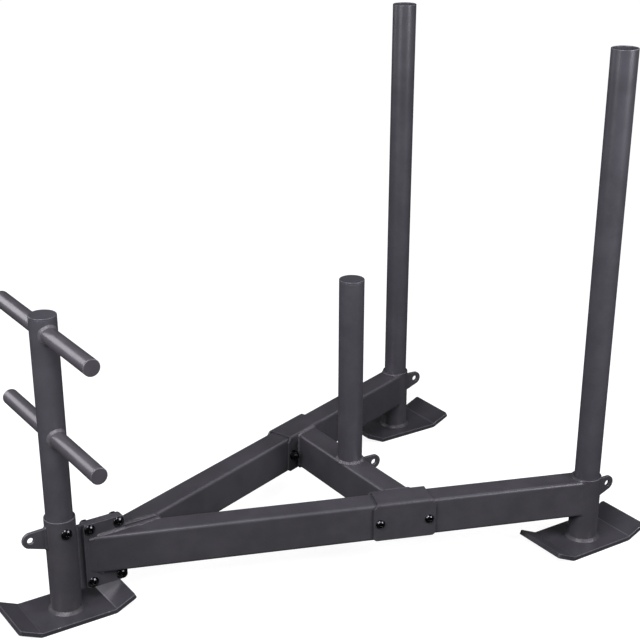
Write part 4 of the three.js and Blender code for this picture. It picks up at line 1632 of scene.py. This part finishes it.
def rail_rear_bead(form):
    """Ring where the rail's end meets the rear sleeve."""
    across, up, out = tube_section()
    depth = np.sqrt(SLEEVE_RADIUS**2 - across**2)
    path = np.stack([across, RAIL_LENGTH - depth, up], -1)
    on_sleeve = np.stack([across, -depth, 0 * depth], -1) / SLEEVE_RADIUS
    on_tube = np.stack([out[:, 0], 0 * depth, out[:, 1]], -1)
    leg = form.bead_leg * RAIL_REAR_LEG
    return on_rail(weld_bead(path, on_sleeve, on_tube, True, leg, form, seed=50, relief=0.7))


def crossmember_bead(form):
    """Ring where the crossmember's end meets the right saddle's inner face."""
    across, up, out = tube_section()
    x = crossmember_half(across) + FIT_GAP / math.cos(RAIL_ANGLE)
    path = np.stack([x, CROSSMEMBER_Y + across, TUBE_MIDDLE + up], -1)
    on_saddle = everywhere((-math.cos(RAIL_ANGLE), math.sin(RAIL_ANGLE), 0), path)
    on_tube = np.stack([0 * x, out[:, 0], out[:, 1]], -1)
    return weld_bead(path, on_saddle, on_tube, True, form.bead_leg * RAISED_LEG, form, seed=60)


def straight(start, end):
    return np.linspace(start, end, LINE_POINTS)


def web_bead(form):
    """Upright bead between the web plate's right face and the front sleeve."""
    half_web = WEB_THICKNESS / 2
    reach = math.sqrt(SLEEVE_RADIUS**2 - half_web**2)
    seat = np.array([half_web, FRONT_POST[1] + reach, TUBE_MIDDLE])
    half = np.array([0, 0, FLANGE_HEIGHT / 2 - WEB_BEAD_INSET])
    path = straight(seat - half, seat + half)
    on_sleeve = everywhere(np.array([half_web, reach, 0]) / SLEEVE_RADIUS, path)
    leg = form.bead_leg * RAISED_LEG
    return weld_bead(path, on_sleeve, everywhere(RIGHT, path), False, leg, form, seed=70)


def tip_bead(form):
    """Ground bead where the rail's outer side runs out onto the flange plate."""
    low = np.array([STACK_HALF, mitre_y(TUBE_WIDTH / 2), TUBE_BOTTOM + TIP_INSET])
    high = np.array([low[0], low[1], TUBE_TOP - TIP_INSET])
    path = straight(low, high)
    on_side = everywhere((math.cos(RAIL_ANGLE), -math.sin(RAIL_ANGLE), 0), path)
    outboard = everywhere(RIGHT, path)
    return weld_bead(path, outboard, on_side, False, TIP_LEG, form, seed=71, relief=0.1, lean=3.0)


def lump(form):
    """Short thick bead over the rail's upper front corner, from LUMP_START to LUMP_END beside it."""
    corner = np.array([STACK_HALF, mitre_y(TUBE_WIDTH / 2), TUBE_TOP - TUBE_CORNER / 2])
    path = straight(corner + LUMP_START, corner + LUMP_END)
    return flat_bead(path, LUMP_NORMAL, LUMP_HALF_WIDTH, LUMP_HEIGHT, form, seed=75)


def head_beads_and_seams(form):
    """Beads above and below the rail's tip on the flange plate, and the flat seams that go on behind them."""
    flat_y = mitre_y(TUBE_WIDTH / 2 - TUBE_CORNER)
    beads, seams = [], []
    for number, (height, up) in enumerate(((TUBE_TOP, 1.0), (TUBE_BOTTOM, -1.0))):
        start = (STACK_HALF, flat_y - HEAD_BEAD_LEAD, height)
        path = straight(start, (STACK_HALF, FLANGE_REAR + BEAD_OVERRUN, height))
        level, outboard = everywhere((0, 0, up), path), everywhere(RIGHT, path)
        beads.append(
            weld_bead(path, level, outboard, False, form.bead_leg, form, seed=72 + number, stretch=1.4)
        )
        start = (STACK_HALF + SEAM_OUTBOARD, FLANGE_REAR - SEAM_LEAD, height)
        path = straight(start, (STACK_HALF, TONGUE_END + BEAD_OVERRUN, height))
        tall = form.bead_leg * SEAM_HEIGHT
        seams.append(
            flat_bead(path, (0, 0, up), form.bead_leg, tall, form, seed=76 + number, stretch=1.6, relief=1.8)
        )
    return beads, seams


def plate_end_bead(form):
    """Upright bead across the plates' rear ends, in the corner between the two rails."""
    low = (0, TONGUE_END, TUBE_BOTTOM + PLATE_END_INSET)
    high = (0, TONGUE_END, TUBE_TOP - PLATE_END_INSET)
    return flat_bead(straight(low, high), (0, 1, 0), MITRE_HALF, PLATE_END_HEIGHT, form, seed=90, stretch=1.3)


class SLED_OT_welds(bpy.types.Operator):
    """Lays the weld beads along every welded seam"""

    bl_idname = "sled.welds"
    bl_label = "Weld Beads"

    def execute(self, context):
        form = context.scene.sled_form
        for beads in (foot_beads(form), handle_beads(form), ear_beads(form)):
            for name, shells in beads.items():
                # Foot and ear beads take the darker copy of the coat, a painted shade
                darker = "sleeve_foot" in name or "ear" in name
                add_beads(name, shells, "foot_paint" if darker else "weld_paint")
        add_beads("rail_sleeve_beads", both_sides([rail_rear_bead(form)]), "ground_paint")
        add_beads("crossmember_saddle_beads", both_sides([crossmember_bead(form)]))
        head_beads, seams = head_beads_and_seams(form)
        add_beads("front_joint_beads", both_sides([web_bead(form), lump(form), *head_beads]))
        add_beads("rail_tongue_beads", both_sides(seams), "seam_paint")
        add_beads("rail_tip_beads", both_sides([tip_bead(form)]), "ground_paint")
        add_beads("plate_end_bead", [plate_end_bead(form)])
        return {"FINISHED"}


# Studio

FLOOR_RADIUS = 14.0
FLOOR_DEPTH = 0.02
FLOOR_GAP = 0.0002


def soft_box(stage, name, turn, rise, power):
    """Square lamp that faces the sled's middle, `turn` degrees right of the camera and `rise` degrees up."""
    a, e = stage.camera_azimuth + math.radians(turn), math.radians(rise)
    away = np.array([math.sin(a) * math.cos(e), -math.cos(a) * math.cos(e), math.sin(e)])
    right = unit(np.cross([0.0, 0.0, 1.0], away))
    lamp = bpy.data.lights.new(name, "AREA")
    lamp.size = stage.box_width
    lamp.energy = power
    lamp.color = stage.light_colour
    thing = bpy.data.objects.new(name, lamp)
    thing.visible_camera = False
    bpy.context.scene.collection.objects.link(thing)
    set_axes(thing, right, np.cross(away, right), away, (cad_low + cad_high) / 2 + away * stage.box_distance)


def studio_walls(stage):
    """White walls in the camera's eyes, which send only a dim light back to the sled."""
    world = bpy.data.worlds.new("studio_walls")
    world.use_nodes = True
    tree = world.node_tree
    sight = tree.nodes.new("ShaderNodeLightPath").outputs["Is Camera Ray"]
    strength = remap(tree, sight, 0.0, 1.0, stage.wall_light, 1.0)
    tree.links.new(strength, tree.nodes["Background"].inputs["Strength"])
    tree.nodes["Background"].inputs["Color"].default_value = (1.0, 1.0, 1.0, 1.0)
    bpy.context.scene.world = world


def set_axes(thing, right, up, back, place):
    """Places a lamp or camera from its own three directions."""
    matrix = np.eye(4)
    matrix[:3, 0], matrix[:3, 1], matrix[:3, 2], matrix[:3, 3] = right, up, back, place
    thing.matrix_world = Matrix(matrix.tolist())


def studio_floor(stage):
    """Pale round floor: rings of radius R s^2, flat, with a slight evenness of tone from fine noise."""
    turn = np.linspace(0, FULL_TURN, 96, endpoint=False)
    radius = FLOOR_RADIUS * np.linspace(0.02, 1, 24) ** 2
    rings = stacked_rings(radius, np.full(24, -FLOOR_GAP), turn)
    low = rings[::-1] - [0, 0, FLOOR_DEPTH]
    floor = put("studio_floor", [skin(np.concatenate([rings, low]), "lids")])
    floor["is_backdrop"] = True
    material, tree, shader, place = new_material("studio_floor")
    tone = np.array(stage.floor_colour[:])
    colour = mix_colour(tree, noise(tree, place, 3.0, detail=2.0), tone * 0.98, tone)
    tree.links.new(colour, shader.inputs["Base Color"])
    shader.inputs["Roughness"].default_value = 0.9
    shader.inputs["Specular IOR Level"].default_value = 0.0
    reach = tree.nodes.new("ShaderNodeVectorMath")
    reach.operation = "LENGTH"
    tree.links.new(place, reach.inputs[0])
    far = stage.glow_radius
    share = remap(tree, reach.outputs["Value"], far / 3, far, 0.0, 1.0, smooth=True)
    glow = mix_colour(tree, share, [stage.floor_glow] * 3, [1.0, 1.0, 1.0])
    tree.links.new(glow, shader.inputs["Emission Color"])
    shader.inputs["Emission Strength"].default_value = 1.0
    floor.data.materials.append(material)
    floor.visible_glossy = floor.visible_diffuse = floor.visible_shadow = False


def studio_camera(stage):
    """Camera at the fitted place. The view looks along (-sin a cos e, cos a cos e, -sin e)."""
    camera = bpy.data.cameras.new("camera")
    camera.lens = stage.lens
    camera.shift_x, camera.shift_y = stage.shift_right, stage.shift_up
    camera.clip_start, camera.clip_end = 0.05, 100
    thing = bpy.data.objects.new("camera", camera)
    bpy.context.scene.collection.objects.link(thing)
    a, e, roll = stage.camera_azimuth, stage.camera_elevation, stage.camera_roll
    ahead = np.array([-math.sin(a) * math.cos(e), math.cos(a) * math.cos(e), -math.sin(e)])
    level = unit(np.cross(ahead, [0.0, 0.0, 1.0]))
    upright = np.cross(level, ahead)
    right = math.cos(roll) * level + math.sin(roll) * upright
    set_axes(thing, right, np.cross(right, ahead), -ahead, np.array(stage.camera_place[:]))
    bpy.context.scene.camera = thing


class SLED_OT_studio(bpy.types.Operator):
    """Sets the pale floor, the soft lights and the camera"""

    bl_idname = "sled.studio"
    bl_label = "Studio"

    def execute(self, context):
        stage = context.scene.sled_stage
        studio_floor(stage)
        studio_camera(stage)
        studio_walls(stage)
        soft_box(stage, "top_box", -15, 50, stage.top_power)
        soft_box(stage, "left_box", -45, 20, stage.left_power)
        soft_box(stage, "right_box", 60, 20, stage.right_power)
        soft_box(stage, "far_left_box", -114, 18, stage.far_left_power)
        soft_box(stage, "far_right_box", 117, 38, stage.far_right_power)
        context.scene.view_settings.view_transform = "Standard"
        return {"FINISHED"}


PIECE_OPERATORS = (
    SLED_OT_skis,
    SLED_OT_sleeves,
    SLED_OT_posts,
    SLED_OT_push_poles,
    SLED_OT_handles,
    SLED_OT_joint_plates,
    SLED_OT_rails,
    SLED_OT_saddles,
    SLED_OT_crossmember,
    SLED_OT_tow_ears,
    SLED_OT_fasteners,
    SLED_OT_welds,
    SLED_OT_studio,
)


class SLED_PT_pieces(bpy.types.Panel):
    """Lists the sled's pieces, sizes and colours"""

    bl_idname = "SLED_PT_pieces"
    bl_label = "Push Sled"
    bl_space_type = "VIEW_3D"
    bl_region_type = "UI"
    bl_category = "Push Sled"

    def draw(self, context):
        for operator in PIECE_OPERATORS:
            self.layout.operator(operator.bl_idname)
        for group in (context.scene.sled_form, context.scene.sled_finish, context.scene.sled_stage):
            box = self.layout.box()
            for name in group.__annotations__:
                box.prop(group, name)


PROPERTY_GROUPS = {"sled_form": SledForm, "sled_finish": SledFinish, "sled_stage": SledStage}


def register():
    for kind in (*PROPERTY_GROUPS.values(), *PIECE_OPERATORS, SLED_PT_pieces):
        bpy.utils.register_class(kind)
    for name, group in PROPERTY_GROUPS.items():
        setattr(bpy.types.Scene, name, bpy.props.PointerProperty(type=group))


def unregister():
    for name in PROPERTY_GROUPS:
        delattr(bpy.types.Scene, name)
    for kind in reversed((*PROPERTY_GROUPS.values(), *PIECE_OPERATORS, SLED_PT_pieces)):
        bpy.utils.unregister_class(kind)


def main():
    register()
    bpy.ops.sled.skis()
    bpy.ops.sled.sleeves()
    bpy.ops.sled.posts()
    bpy.ops.sled.push_poles()
    bpy.ops.sled.handles()
    bpy.ops.sled.joint_plates()
    bpy.ops.sled.rails()
    bpy.ops.sled.saddles()
    bpy.ops.sled.crossmember()
    bpy.ops.sled.tow_ears()
    bpy.ops.sled.fasteners()
    bpy.ops.sled.welds()
    bpy.ops.sled.studio()


if __name__ == "__main__":
    main()
